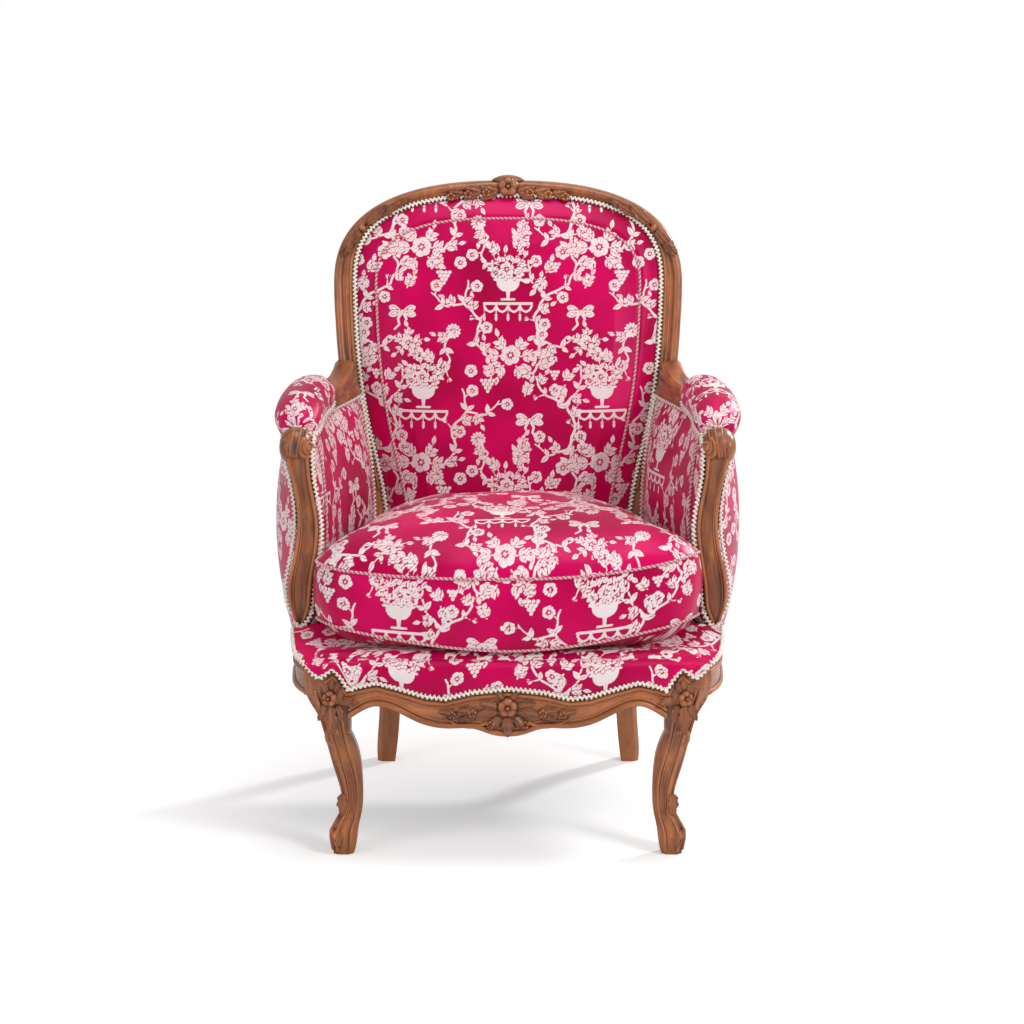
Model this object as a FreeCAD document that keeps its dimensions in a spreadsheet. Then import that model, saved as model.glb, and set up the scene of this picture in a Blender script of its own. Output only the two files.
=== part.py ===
import FreeCAD, Part
import Sketcher
import math
import os

# Bergere armchair: carved seat frame, raked back frame, bowed arms, stuffed
# upholstery on webbing and hessian, and a loose seat cushion.
# Millimetres, +Z up, front towards -Y. The left side is drawn and the right
# side is its mirror image. Depths are drawn from a plane inside the seat, and
# every sub-part is placed so that the origin is the bottom centre of the chair.

Vector = FreeCAD.Vector
MIRROR_PLANE = Vector(1, 0, 0)
ORIGIN = Vector(0, 0, 0)

SIZES = [
    ("rail_top", 291, "top of all seat rails"),
    ("rail_under", 238, "underside of side rails"),
    ("rail_thick", 38, "side rail, outer face to inner face"),
    ("rebate", 6, "depth of the tacking rebate above a moulding"),
    ("side_rail_show", 280, "top of the side rail moulding"),
    ("joint_gap", 0.05, "clearance of a tenon in its mortise"),
    ("fit_gap", 0.3, "clearance round soft pieces"),
    ("leg_front_lead", 6, "front leg: how much further forward than outward"),
    ("leg_inner", 234, "front leg block: inner face from the middle"),
    ("leg_rear", -238, "front leg block: rear face"),
    ("foot_out", 262, "front foot: outer face from the middle"),
    ("foot_wide", 30, "front foot at the floor"),
    ("toe_height", 36, "front foot: height of the toe scroll"),
    ("toe_out", 265, "toe scroll: outer face"),
    ("toe_wide", 40, "toe scroll: width"),
    ("ankle_height", 84, "front leg: height of the ankle"),
    ("ankle_out", 248, "ankle: outer face"),
    ("ankle_wide", 30, "ankle: width"),
    ("calf_height", 126, "front leg: height of the calf station"),
    ("calf_out", 257, "calf: outer face"),
    ("calf_wide", 38, "calf: width"),
    ("knee_foot", 190, "height where the leg block begins"),
    ("knee_foot_out", 272, "outer face there"),
    ("knee_height", 225, "height of the knee"),
    ("knee_out", 283, "knee: outer face"),
    ("block_height", 255, "height where the block is full size"),
    ("block_out", 297, "leg block: outer face"),
    ("rail_front", -298, "front rail: face at the legs"),
    ("rail_bow", 16, "front rail: bow in plan"),
    ("front_rail_rear", -258, "front rail: rear face"),
    ("front_low_leg", 219, "front rail underside beside the leg"),
    ("front_low_peak", 238, "front rail underside at its high point"),
    ("front_low_swag", 206, "front rail underside along the swag"),
    ("front_low_drop", 195, "front rail underside in the middle"),
    ("front_peak_x", 190, "high point from the middle"),
    ("front_top_leg", 266, "front rail moulding top beside the leg"),
    ("front_top_peak", 272, "front rail moulding top at its high point"),
    ("front_top_dip", 249, "front rail moulding top at its dip"),
    ("front_top_mid", 265, "front rail moulding top in the middle"),
    ("tenon_long", 26, "tenon length"),
    ("tenon_thick", 12, "tenon thickness"),
    ("tenon_tall", 34, "seat rail tenon height"),
    ("arm_tenon", 14, "arm tenon width and height"),
    ("peg_wide", 6, "peg diameter"),
    ("peg_long", 30, "peg length"),
    ("side_front_x", 300, "side rail: outer face at the front leg"),
    ("side_wide_x", 329, "side rail: outer face at its widest"),
    ("side_wide_y", -60, "side rail: where it is widest"),
    ("side_rear_x", 227, "side rail: outer face at the back post"),
    ("side_rear_y", 213, "side rail: where it meets the back post"),
    ("rake", 0.215, "back: run per unit of rise"),
    ("back_face", 200, "back frame: front face at the datum height"),
    ("back_datum", 380, "back frame: datum height"),
    ("back_bow", 12, "back frame: hollow of its middle behind its sides"),
    ("post_deep", 36, "back post: front to rear"),
    ("post_foot_in", 190, "rear foot: inner face"),
    ("post_foot_wide", 29, "rear foot: width"),
    ("post_foot_face", 262, "rear foot: front face"),
    ("post_foot_deep", 30, "rear foot: front to rear"),
    ("post_knee_in", 181, "rear leg: inner face below the seat"),
    ("post_wide", 37, "back post: width across its face"),
    ("post_seat_in", 186, "back post: inner face at seat rail height"),
    ("post_low_in", 200, "back post: inner face above the cushion"),
    ("post_low_height", 475, "height of that station"),
    ("post_mid_in", 220, "back post: inner face below the arm"),
    ("post_mid_height", 560, "height of that station"),
    ("post_arm_in", 236, "back post: inner face at the arm"),
    ("post_arm_height", 650, "height of that station"),
    ("crest_foot", 800, "height of the joint of post and crest rail"),
    ("crest_in_wide", 246, "crest rail: inner half width at the joint"),
    ("crest_out_wide", 286, "crest rail: outer half width at the joint"),
    ("crest_in_top", 938, "crest rail: inner edge in the middle"),
    ("crest_out_top", 966, "crest rail: outer edge in the middle"),
    ("crest_out_power", 2.5, "squareness of the outer shoulder"),
    ("crest_in_power", 2.8, "squareness of the inner shoulder"),
    ("crest_bevel", 7, "crest rail: bevel of its rounded edges"),
    ("flower_tall", 9, "crest flower: how far it stands above the rail"),
    ("flower_wide", 74, "crest flower: width"),
    ("rear_rail_tall", 53, "rear seat rail: height"),
    ("rear_rail_thick", 32, "rear seat rail: thickness"),
    ("rear_rail_face", 190, "rear seat rail: front face"),
    ("low_rail_under", 320, "back lower rail: underside"),
    ("low_rail_tall", 40, "back lower rail: height"),
    ("low_rail_thick", 26, "back lower rail: thickness"),
    ("support_foot_rear", -142, "arm support foot: rear face"),
    ("support_foot_face", -186, "arm support foot: front face"),
    ("support_foot_out", 329, "arm support foot: outer face"),
    ("support_foot_in", 297, "arm support foot: inner face"),
    ("support_swell", 374, "height of the swelling of the arm support"),
    ("support_swell_in", 285, "inner face there"),
    ("support_swell_out", 332, "outer face there"),
    ("support_waist", 490, "height of the waist of the arm support"),
    ("support_waist_in", 290, "inner face there"),
    ("support_waist_out", 320, "outer face there"),
    ("scroll_height", 608, "arm scroll: height of its axis"),
    ("scroll_y", -140, "arm scroll: its axis"),
    ("scroll_round", 31, "arm scroll: radius"),
    ("scroll_in", 293, "arm scroll: inner face"),
    ("scroll_out", 343, "arm scroll: outer face"),
    ("arm_wide", 44, "arm rail: width"),
    ("arm_tall", 27, "arm rail: height"),
    ("arm_bow_out", 320, "arm rail: axis at its widest, from the middle"),
    ("arm_bow_y", -50, "arm rail: where it is widest"),
    ("arm_rear_x", 268, "arm rail: axis at the back post"),
    ("arm_rear_height", 666, "arm rail: axis height at the back post"),
    ("arm_bow_height", 633, "arm rail: axis height at its widest"),
    ("webbing_wide", 52, "webbing: width"),
    ("webbing_thick", 1.2, "webbing: thickness"),
    ("webbing_pitch", 74, "seat webbing: spacing"),
    ("hessian_thick", 1, "hessian: thickness"),
    ("cloth_thick", 1.2, "cover cloth: thickness"),
    ("deck_crown_top", 318, "seat deck: top of its cover in the middle"),
    ("deck_edge_top", 306, "seat deck: height where its edge turns over"),
    ("deck_rear", 216, "seat deck: rear edge, on the rear rail"),
    ("cushion_low_seam", 344, "cushion: lower seam"),
    ("cushion_top_seam", 430, "cushion: upper seam"),
    ("cushion_crown", 509, "cushion: top of the crown"),
    ("cushion_front", -302, "cushion: front of the seams in the middle"),
    ("cushion_front_bow", 22, "cushion: bow of the front seam"),
    ("cushion_ear", 284, "cushion: half width in front of the arms"),
    ("cushion_ear_rear", -205, "cushion: rear of the ears"),
    ("cushion_side_front", 258, "cushion: half width between the arm fronts"),
    ("cushion_side_rear", 176, "cushion: half width at its rear"),
    ("cushion_rear", 146, "cushion: rear of the seams"),
    ("cushion_bulge", 7, "cushion: bulge of its band between the seams"),
    ("cushion_cloth", 1.5, "cushion: cloth and ticking together"),
    ("cord_round", 2.2, "piping cord: radius"),
    ("gimp_wide", 8, "gimp braid: width"),
    ("gimp_thick", 1.6, "gimp braid: thickness"),
    ("back_cord_inset", 30, "back piping: distance inside the frame"),
    ("back_edge_rise", 10, "back pad: height of its edge before the frame"),
    ("back_crown", 46, "back pad: crown before the frame in the middle"),
    ("back_crown_top", 18, "back pad: crown at its top"),
    ("back_pad_under", 363, "back pad: lower edge"),
    ("arm_pad_under", 330, "inside arm pad: lower edge"),
    ("arm_pad_crown", 34, "inside arm pad: crown"),
    ("outside_arm_crown", 23, "outside arm: crown"),
    ("rest_front", -112, "armrest pad: front end"),
    ("rest_rear", 98, "armrest pad: rear end"),
    ("rest_wide", 39, "armrest pad: half width"),
    ("rest_tall", 34, "armrest pad: half height"),
    ("rest_lift", 25, "armrest pad: its axis above the axis of the arm rail"),
    ("dust_cover_drop", 0.5, "dust cover: gap under the side rails"),
    ("tack_wide", 9, "tack head: diameter"),
    ("tack_thick", 1.4, "tack head: thickness"),
    ("screw_wide", 5, "corner block screw: diameter"),
    ("screw_long", 46, "corner block screw: length"),
    ("block_tall", 36, "corner block: height"),
    ("block_drop", 6, "corner block: top below the rail top"),
]

doc = FreeCAD.newDocument("bergere")
sheet = doc.addObject("Spreadsheet::Sheet", "sizes")
for row, (alias, value, note) in enumerate(SIZES, start=1):
    sheet.set(f"A{row}", alias.replace("_", " "))
    sheet.set(f"B{row}", str(value))
    sheet.set(f"C{row}", note)
    sheet.setAlias(f"B{row}", alias)
doc.recompute()


def size(alias):
    return float(sheet.get(alias))


sub_parts = []


def keep(label, shape):
    """A sub-part whose form is curved in every direction."""
    feature = doc.addObject("Part::Feature", label)
    feature.Label = label
    feature.Shape = shape
    sub_parts.append(feature)
    return feature


def keep_pair(name, left_shape):
    keep(name + "_left", left_shape)
    keep(name + "_right", left_shape.mirror(ORIGIN, MIRROR_PLANE))


def polygon(points):
    return Part.makePolygon(points + [points[0]])


def loft(wires, ruled=False):
    return Part.makeLoft(wires, True, ruled)


def spline(points):
    curve = Part.BSplineCurve()
    curve.interpolate(points)
    return curve.toShape()


def arc(start, middle, end):
    return Part.Arc(start, middle, end).toShape()


def line(start, end):
    return Part.LineSegment(start, end).toShape()


def box(x_low, x_high, y_low, y_high, z_low, z_high):
    corner = Vector(x_low, y_low, z_low)
    return Part.makeBox(x_high - x_low, y_high - y_low, z_high - z_low, corner)


def grown(centre, half, gap):
    """A box round a centre, with a clearance on every side."""
    low = [c - h - gap for c, h in zip(centre, half)]
    high = [c + h + gap for c, h in zip(centre, half)]
    return box(low[0], high[0], low[1], high[1], low[2], high[2])


def prism(edges, direction):
    return Part.Face(Part.Wire(edges)).extrude(direction)


def biggest(shape):
    return max(shape.Solids, key=lambda solid: solid.Volume)


def bevelled(x_low, x_high, y_low, y_high, z, bevels, turn=0.0):
    """A flat rectangle at height z whose corners are cut by four bevels.

    The turn is the run in depth for each unit across the rectangle."""
    a, b, c, d = bevels
    middle = (x_low + x_high) / 2
    corners = [(x_low + a, y_low), (x_high - b, y_low), (x_high, y_low + b), (x_high, y_high - c),
               (x_high - c, y_high), (x_low + d, y_high), (x_low, y_high - d), (x_low, y_low + a)]
    return polygon([Vector(x, y + turn * (x - middle), z) for x, y in corners])


def back_face(x, z):
    """Depth of the front face of the back frame, raked and hollow."""
    bow = size("back_bow") * (1 - (x / size("crest_out_wide")) ** 2)
    return size("back_face") + size("rake") * (z - size("back_datum")) + bow


def post_stations():
    """Height, inner half width, width, front face and depth up the back post."""
    lead = size("post_foot_face")
    stations = [
        (0, size("post_foot_in"), size("post_foot_wide"), lead, size("post_foot_deep")),
        (40, size("post_foot_in") - 5, size("post_wide") - 3, lead - 9, size("post_deep") - 4),
        (90, size("post_knee_in"), size("post_wide") - 3, lead - 24, size("post_deep") - 2),
        (155, size("post_knee_in"), size("post_wide") - 1, lead - 47, size("post_deep") + 2),
    ]
    raked = [
        (225, size("post_seat_in")), (size("rail_top"), size("post_seat_in")),
        (size("back_datum"), size("post_seat_in") + 3),
        (size("post_low_height"), size("post_low_in")),
        (size("post_mid_height"), size("post_mid_in")),
        (size("post_arm_height"), size("post_arm_in")),
        (728, size("crest_in_wide") - 3),
        (size("crest_foot"), size("crest_in_wide")),
    ]
    flare = (size("crest_out_wide") - size("crest_in_wide")) - size("post_wide")
    for z, inner in raked:
        share = max(0.0, (z - size("back_datum")) / (size("crest_foot") - size("back_datum")))
        wide = size("post_wide") + flare * share
        middle = inner + wide / 2
        lean = max(0.0, (size("rail_top") - z) / 6)
        stations.append((z, inner, wide, back_face(middle, z) + lean, size("post_deep")))
    return stations


def post_inner(z):
    """Inner half width of the back post at a height, along its curve."""
    stations = [(station[0], station[1]) for station in post_stations()]
    curve = Part.BSplineCurve()
    curve.interpolate([Vector(inner, 0, height) for height, inner in stations])
    plane = Part.Plane(Vector(0, 0, z), Vector(0, 0, 1))
    return curve.intersect(plane)[0][0].X


def superellipse(half_wide, foot, top, power, angle):
    """A point on a squared shoulder line, from its foot round to its top."""
    c = math.cos(angle)
    s = math.sin(angle)
    x = half_wide * math.copysign(abs(c) ** (2 / power), c)
    return x, foot + (top - foot) * abs(s) ** (2 / power)


def crest_pair(angle, inset=0.0):
    """Outer and inner point of the crest rail at an angle round the arch."""
    outer = superellipse(size("crest_out_wide"), size("crest_foot"), size("crest_out_top"),
                         size("crest_out_power"), angle)
    inner = superellipse(size("crest_in_wide") - inset, size("crest_foot"),
                         size("crest_in_top") - inset, size("crest_in_power"), angle)
    return outer, inner


# Front legs: a cabriole shaft under a block that holds the two seat rails.
def front_leg():
    shaft = []
    lead = size("leg_front_lead")
    stations = [
        (0, size("foot_out"), size("foot_wide")),
        (size("toe_height") * 0.35, size("foot_out") + 2, size("foot_wide") + 6),
        (size("toe_height"), size("toe_out"), size("toe_wide")),
        ((size("toe_height") + size("ankle_height")) / 2, size("ankle_out") + 4,
         size("ankle_wide") + 2),
        (size("ankle_height"), size("ankle_out"), size("ankle_wide")),
        (size("calf_height"), size("calf_out"), size("calf_wide")),
        (size("knee_foot"), size("knee_foot_out"), size("knee_foot_out") - size("leg_inner")),
    ]
    for z, out, wide in stations:
        y = -(out + lead)
        bevel = wide * 0.24
        shaft.append(bevelled(-out, wide - out, y, y + wide, z, [bevel] * 4))
    block = []
    inner = -size("leg_inner")
    rear = size("leg_rear")
    for z, out in [(size("knee_foot"), size("knee_foot_out")), (size("knee_height"), size("knee_out")),
                   (size("block_height"), size("block_out")), (size("rail_top"), size("side_front_x"))]:
        front = max(-(out + lead), size("rail_front"))
        block.append(bevelled(-out, inner, front, rear, z, [10, 1, 1, 3]))
    return loft(shaft).fuse(loft(block)).removeSplitter()


# Back posts: the rear leg and the stile of the back are one raked piece.
def back_post():
    wires = []
    for z, inner, wide, face, deep in post_stations():
        raked = z >= size("back_datum")
        middle = -(inner + wide / 2)
        turn = -2 * size("back_bow") * middle / size("crest_out_wide") ** 2 if raked else 0.0
        wires.append(bevelled(-inner - wide, -inner, face, face + deep, z, [7, 2, 2, 5], turn))
    return loft(wires)


# Crest rail: an arch of even section from one post top to the other.
def crest_rail():
    wires = []
    bevel = size("crest_bevel")
    steps = 60
    for step in range(0, steps + 1):
        angle = math.pi * step / steps
        (xo, zo), (xi, zi) = crest_pair(angle)
        span = math.hypot(xo - xi, zo - zi)
        ux = (xo - xi) / span
        uz = (zo - zi) / span
        rear = size("post_deep")
        corners = [(2, 0), (span - bevel, 0), (span, bevel), (span, rear - bevel),
                   (span - bevel, rear), (2, rear), (0, rear - 2), (0, 2)]
        section = []
        for across, depth in corners:
            x = xi + ux * across
            z = zi + uz * across
            section.append(Vector(x, back_face(x, z) + depth, z))
        wires.append(polygon(section))
    arch = loft(wires, True)
    half = size("flower_wide") / 2
    top = size("crest_out_top")
    low = top - size("flower_tall")
    start = Vector(-half, back_face(0, top) + 2, low)
    middle = Vector(0, start.y, top + size("flower_tall"))
    end = Vector(half, start.y, low)
    flower = prism([arc(start, middle, end), line(end, start)],
                   Vector(0, size("post_deep") - 4, 0))
    return arch.fuse(flower).removeSplitter()


def rail_outline(points_low, points_high):
    """Face outline in the XZ plane between a lower and an upper edge line."""
    low = [Vector(x, 0, z) for x, z in points_low]
    high = [Vector(x, 0, z) for x, z in points_high]
    return [spline(low), line(low[-1], high[-1]), spline(high), line(high[0], low[0])]


def both_sides(points):
    """Points from -x to +x, from the right half of a symmetric line."""
    left = [(-x, z) for x, z in reversed(points) if x > 0]
    return left + points


def bowed_slab(front, rear, bow, half, z_low, z_high):
    """A slab whose front face is bowed in plan."""
    a = Vector(-half, front, z_low)
    b = Vector(half, front, z_low)
    c = Vector(half, rear, z_low)
    d = Vector(-half, rear, z_low)
    edges = [arc(a, Vector(0, front - bow, z_low), b), line(b, c), line(c, d), line(d, a)]
    return prism(edges, Vector(0, 0, z_high - z_low))


def front_low_line():
    peak = size("front_peak_x")
    swag = size("front_low_swag")
    return both_sides([
        (0, size("front_low_drop")), (22, size("front_low_drop") + 3), (46, swag),
        (86, swag + 1), (130, swag + 9), (170, size("front_low_peak") - 4),
        (peak + 8, size("front_low_peak")), (size("leg_inner"), size("front_low_leg")),
    ])


def front_top_line():
    peak = size("front_peak_x") + 4
    dip = size("front_top_dip")
    return both_sides([
        (0, size("front_top_mid")), (54, size("front_top_mid") - 6), (92, dip), (122, dip + 3),
        (159, size("front_top_peak") - 9), (peak, size("front_top_peak")),
        (size("leg_inner"), size("front_top_leg")),
    ])


# Front rail: serpentine, with a tacking strip set back above its moulding.
def front_rail():
    inner = size("leg_inner")
    top = size("rail_top")
    reach = size("rail_front") - size("rail_bow") - 20
    full_top = [(-inner, top), (0, top), (inner, top)]
    low = front_low_line()
    deep = Vector(0, size("front_rail_rear") - reach + 20, 0)
    visible = prism(rail_outline(low, front_top_line()), deep)
    whole = prism(rail_outline(low, full_top), deep)
    visible.translate(Vector(0, reach, 0))
    whole.translate(Vector(0, reach, 0))
    slab = bowed_slab(size("rail_front"), size("front_rail_rear"), size("rail_bow"), inner,
                      size("front_low_drop") - 20, top + 20)
    thin = bowed_slab(size("rail_front") + size("rebate"), size("front_rail_rear"),
                      size("rail_bow"), inner, size("front_low_drop") - 20, top + 20)
    return visible.common(slab).fuse(whole.common(thin)).removeSplitter()


def side_line():
    """Outer face of the left side rail in plan, front to rear."""
    wide = size("side_wide_x")
    wide_y = size("side_wide_y")
    front_y = size("leg_rear")
    rear = size("side_rear_x")
    rear_y = size("side_rear_y")
    return [
        (-size("side_front_x"), front_y),
        (-(size("side_front_x") + (wide - size("side_front_x")) * 0.62), front_y + 48),
        (-wide + 3, wide_y - 66), (-wide, wide_y), (-wide + 8, wide_y + 72),
        (-(rear + (wide - rear) * 0.66), wide_y + 150),
        (-(rear + (wide - rear) * 0.32), rear_y - 50), (-rear, rear_y),
    ]


def shifted(points, offset):
    """Points of a plan line moved inwards along its own normals."""
    moved = []
    for index, (x, y) in enumerate(points):
        x0, y0 = points[max(0, index - 1)]
        x1, y1 = points[min(len(points) - 1, index + 1)]
        span = math.hypot(x1 - x0, y1 - y0)
        moved.append((x + (y1 - y0) / span * offset, y - (x1 - x0) / span * offset))
    return moved


def side_band(outer_offset, z_low, z_high):
    outer = [Vector(x, y, z_low) for x, y in shifted(side_line(), outer_offset)]
    inner = [Vector(x, y, z_low) for x, y in shifted(side_line(), size("rail_thick"))]
    edges = [spline(outer), line(outer[-1], inner[-1]), spline(inner), line(inner[0], outer[0])]
    return prism(edges, Vector(0, 0, z_high - z_low))


# Side rails: bowed in plan, with the tacking rebate above the moulding.
def side_rail():
    lower = side_band(0, size("rail_under"), size("side_rail_show"))
    upper = side_band(size("rebate"), size("side_rail_show"), size("rail_top"))
    behind_leg = box(-400, 0, size("leg_rear"), 400, 0, 400)
    return lower.fuse(upper).common(behind_leg).removeSplitter()


# Arm supports: an S-shaped upright set back from the leg, under a scroll.
def arm_support():
    foot = (size("support_foot_out"), size("support_foot_in"))
    swell = (size("support_swell_out"), size("support_swell_in"))
    waist = (size("support_waist_out"), size("support_waist_in"))
    scroll = (size("scroll_out"), size("scroll_in"))
    face = size("support_foot_face")
    rear = size("support_foot_rear")
    stations = [
        (size("rail_top"), foot, face + 8, rear + 2),
        (328, foot, face, rear),
        (size("support_swell"), swell, face - 4, rear - 3),
        (420, (swell[0], swell[1] + 8), face, rear - 4),
        (size("support_waist"), waist, face + 16, rear + 10),
        (551, (waist[0] + 7, waist[1] + 4), face + 28, rear + 22),
        (592, (scroll[0] - 10, scroll[1]), size("scroll_y") - 20, size("scroll_y") + 24),
    ]
    wires = []
    for z, (out, inner), front, back in stations:
        wires.append(bevelled(-out, -inner, front, back, z, [6, 6, 2, 2]))
    upright = loft(wires)
    start = Vector(-size("scroll_out"), size("scroll_y"), size("scroll_height"))
    wide = size("scroll_out") - size("scroll_in")
    roll = Part.makeCylinder(size("scroll_round"), wide, start, Vector(1, 0, 0))
    roll = roll.makeFillet(6, [roll.Edges[0], roll.Edges[2]])
    return upright.fuse(roll).removeSplitter()


def arm_axis():
    """Stations of the arm rail: depth, half width position, height, size scale."""
    bow = size("arm_bow_out")
    rear = size("arm_rear_x")
    low = size("arm_bow_height")
    high = size("arm_rear_height")
    bow_y = size("arm_bow_y")
    end = back_face(rear, high)
    return [
        (size("scroll_y") + 12, bow - 1, low - 18, 0.92),
        (-96, bow, low - 8, 0.96), (bow_y, bow, low, 1.0),
        (20, bow - 6, low + 7, 1.0), (90, bow - 20, low + 11, 0.97),
        (160, rear + 14, low + 15, 0.86), (215, rear + 3, high - 11, 0.76),
        (end + 8, rear, high, 0.72),
    ]


# Arm rails: bowed in plan and rising to the back posts.
def arm_rail():
    wires = []
    for y, x, z, scale in arm_axis():
        half = size("arm_wide") / 2 * scale
        tall = size("arm_tall") / 2 * scale * (1.0 if y < 200 else 1.35)
        bevel = 5
        wires.append(polygon([
            Vector(-x - half + bevel, y, z - tall), Vector(-x + half - bevel, y, z - tall),
            Vector(-x + half, y, z - tall + bevel), Vector(-x + half, y, z + tall - bevel),
            Vector(-x + half - bevel, y, z + tall), Vector(-x - half + bevel, y, z + tall),
            Vector(-x - half, y, z + tall - bevel), Vector(-x - half, y, z - tall + bevel),
        ]))
    return loft(wires)



def tenon(centre, half):
    """A tenon and the mortise that takes it with the joint clearance."""
    return grown(centre, half, 0.0), grown(centre, half, size("joint_gap"))


def peg(start, direction):
    """A wooden peg and its hole."""
    wide = size("peg_wide") / 2
    pin = Part.makeCylinder(wide, size("peg_long"), start, direction)
    gap = size("joint_gap")
    hole = Part.makeCylinder(wide + gap, size("peg_long") + gap, start, direction)
    return pin, hole


def carved(shape, pieces):
    """The biggest part of a shape that stays when its neighbours are cut out."""
    for piece in pieces:
        shape = shape.cut(piece)
    return biggest(shape)


def joined(rail, holder, centre, half):
    """The rail with its tenon and the holder with its mortise."""
    tongue, socket = tenon(centre, half)
    return rail.fuse(tongue).removeSplitter(), holder.cut(socket)


def mirrored(shape):
    return shape.mirror(ORIGIN, MIRROR_PLANE)


def body_from_boxes(label, pads):
    """A PartDesign body whose pads are rectangles in plan, each on its own plane."""
    body = doc.addObject("PartDesign::Body", label)
    body.Label = label
    plane = [item for item in body.Origin.OriginFeatures if item.Role == "XY_Plane"][0]
    for index, (x_low, x_high, y_low, y_high, z_low, z_high) in enumerate(pads):
        sketch = body.newObject("Sketcher::SketchObject", f"{label}_outline_{index}")
        sketch.AttachmentSupport = [(plane, "")]
        sketch.MapMode = "FlatFace"
        sketch.setExpression("AttachmentOffset.Base.z", z_low)
        corners = [Vector(0, 0, 0), Vector(1, 0, 0), Vector(1, 1, 0), Vector(0, 1, 0)]
        for here, there in zip(corners, corners[1:] + corners[:1]):
            sketch.addGeometry(Part.LineSegment(here, there), False)
        for edge in range(4):
            sketch.addConstraint(Sketcher.Constraint("Coincident", edge, 2, (edge + 1) % 4, 1))
        for edge in (0, 2):
            sketch.addConstraint(Sketcher.Constraint("Horizontal", edge))
        for edge in (1, 3):
            sketch.addConstraint(Sketcher.Constraint("Vertical", edge))
        spans = [("DistanceX", 0, 1, 0, 2, f"({x_high}) - ({x_low})"),
                 ("DistanceY", 1, 1, 1, 2, f"({y_high}) - ({y_low})")]
        for kind, edge_a, end_a, edge_b, end_b, rule in spans:
            number = sketch.addConstraint(
                Sketcher.Constraint(kind, edge_a, end_a, edge_b, end_b, 1.0))
            sketch.setExpression(f"Constraints[{number}]", rule)
        for kind, rule in [("DistanceX", x_low), ("DistanceY", y_low)]:
            number = sketch.addConstraint(Sketcher.Constraint(kind, -1, 1, 0, 1, -1.0))
            sketch.setExpression(f"Constraints[{number}]", rule)
        pad = body.newObject("PartDesign::Pad", f"{label}_pad_{index}")
        pad.Profile = sketch
        pad.setExpression("Length", f"({z_high}) - ({z_low})")
    return body


def group(label, shapes):
    """Identical or paired loose pieces that share one node."""
    return keep(label, Part.makeCompound(shapes))


def side_outer(y):
    """Half width of the outer face of the side rail at a depth."""
    curve = Part.BSplineCurve()
    curve.interpolate([Vector(x, at, 0) for x, at in side_line()])
    y = min(max(y, side_line()[0][1] + 0.01), side_line()[-1][1] - 0.01)
    plane = Part.Plane(Vector(0, y, 0), Vector(0, 1, 0))
    return -curve.intersect(plane)[0][0].X


# Seat frame joints: the front and side rails are tenoned into the front legs,
# the side and rear rails into the back posts, and each tenon is pegged.
def seat_frame():
    leg = front_leg()
    post = back_post()
    front = front_rail()
    side = biggest(side_rail().cut(post))
    tall = size("tenon_tall") / 2
    thick = size("tenon_thick") / 2
    long = size("tenon_long")
    tenon_z = size("rail_top") - tall - 10
    front_y = size("front_rail_rear") - thick - 10
    pins = []
    for hand in (-1, 1):
        centre = (hand * size("leg_inner"), front_y, tenon_z)
        tongue, socket = tenon(centre, (long, thick, tall))
        front = front.fuse(tongue)
        pin, hole = peg(Vector(hand * (size("leg_inner") + long / 2), size("leg_rear"), tenon_z - 8),
                        Vector(0, -1, 0))
        front = front.cut(hole)
        pins.append(pin)
        if hand < 0:
            leg = leg.cut(socket).cut(hole)
    front = front.removeSplitter()
    side_x = -size("side_front_x") + size("rail_thick") / 2 - 2
    side_half = (thick, long * 0.55, tall * 0.8)
    tongue, socket = tenon((side_x, size("leg_rear"), tenon_z), side_half)
    side = side.fuse(tongue)
    leg = leg.cut(socket)
    rear_x = -size("post_seat_in") - size("post_wide") + 2
    rear_y = back_face(rear_x, tenon_z) + size("post_deep") / 2
    tongue, socket = tenon((rear_x, rear_y - 4, tenon_z), (long * 0.5, thick, tall * 0.8))
    side = side.fuse(tongue.cut(box(-400, -rear_x * -1 - long, 0, 400, 0, 400))).removeSplitter()
    post = post.cut(socket)
    return leg, post, front, biggest(side), pins


def back_frame_joints(post, crest, pins):
    """Crest rail on the post tops, pegged from behind."""
    joint = size("crest_foot")
    middle = (size("crest_in_wide") + size("crest_out_wide")) / 2
    y = back_face(middle, joint) + size("post_deep") / 2
    half = (size("tenon_thick"), size("tenon_thick") / 2, size("tenon_long"))
    for hand in (-1, 1):
        tongue, socket = tenon((hand * middle, y, joint), half)
        crest = crest.cut(socket)
        pin, hole = peg(Vector(hand * middle, y + size("post_deep") / 2 - 0.5, joint + 14),
                        Vector(0, -1, 0))
        crest = crest.cut(hole)
        pins.append(pin)
        if hand < 0:
            upper = box(-400, 0, 0, 400, joint - 1, joint + 200)
            post = post.fuse(tongue).removeSplitter().cut(hole)
    return post, crest



# Rear rail and back lower rail: straight rails tenoned between the back posts.
def straight_rail(label, low, tall, thick, face):
    half = "sizes.post_seat_in - sizes.fit_gap"
    reach = "sizes.post_seat_in + sizes.tenon_long"
    inset = f"({thick} - sizes.tenon_thick) / 2"
    main = (f"-({half})", half, face, f"{face} + {thick}", low, f"{low} + {tall}")
    tongue = (f"-({reach})", reach, f"{face} + {inset}", f"{face} + {thick} - {inset}",
              f"{low} + 9", f"{low} + {tall} - 9")
    return body_from_boxes(label, [main, tongue])


def cut_socket(holder, low, tall, thick, face, rake_angle=0.0, pivot=ORIGIN):
    """The mortise in a back post for a straight rail, with the joint clearance."""
    inset = (thick - size("tenon_thick")) / 2
    half_y = (thick - 2 * inset) / 2
    half_z = (tall - 18) / 2
    centre = (0, face + thick / 2, low + tall / 2)
    socket = grown(centre, (size("post_seat_in") + size("tenon_long"), half_y, half_z),
                   size("joint_gap"))
    if rake_angle:
        socket.rotate(pivot, Vector(1, 0, 0), rake_angle)
    return holder.cut(socket)


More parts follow.
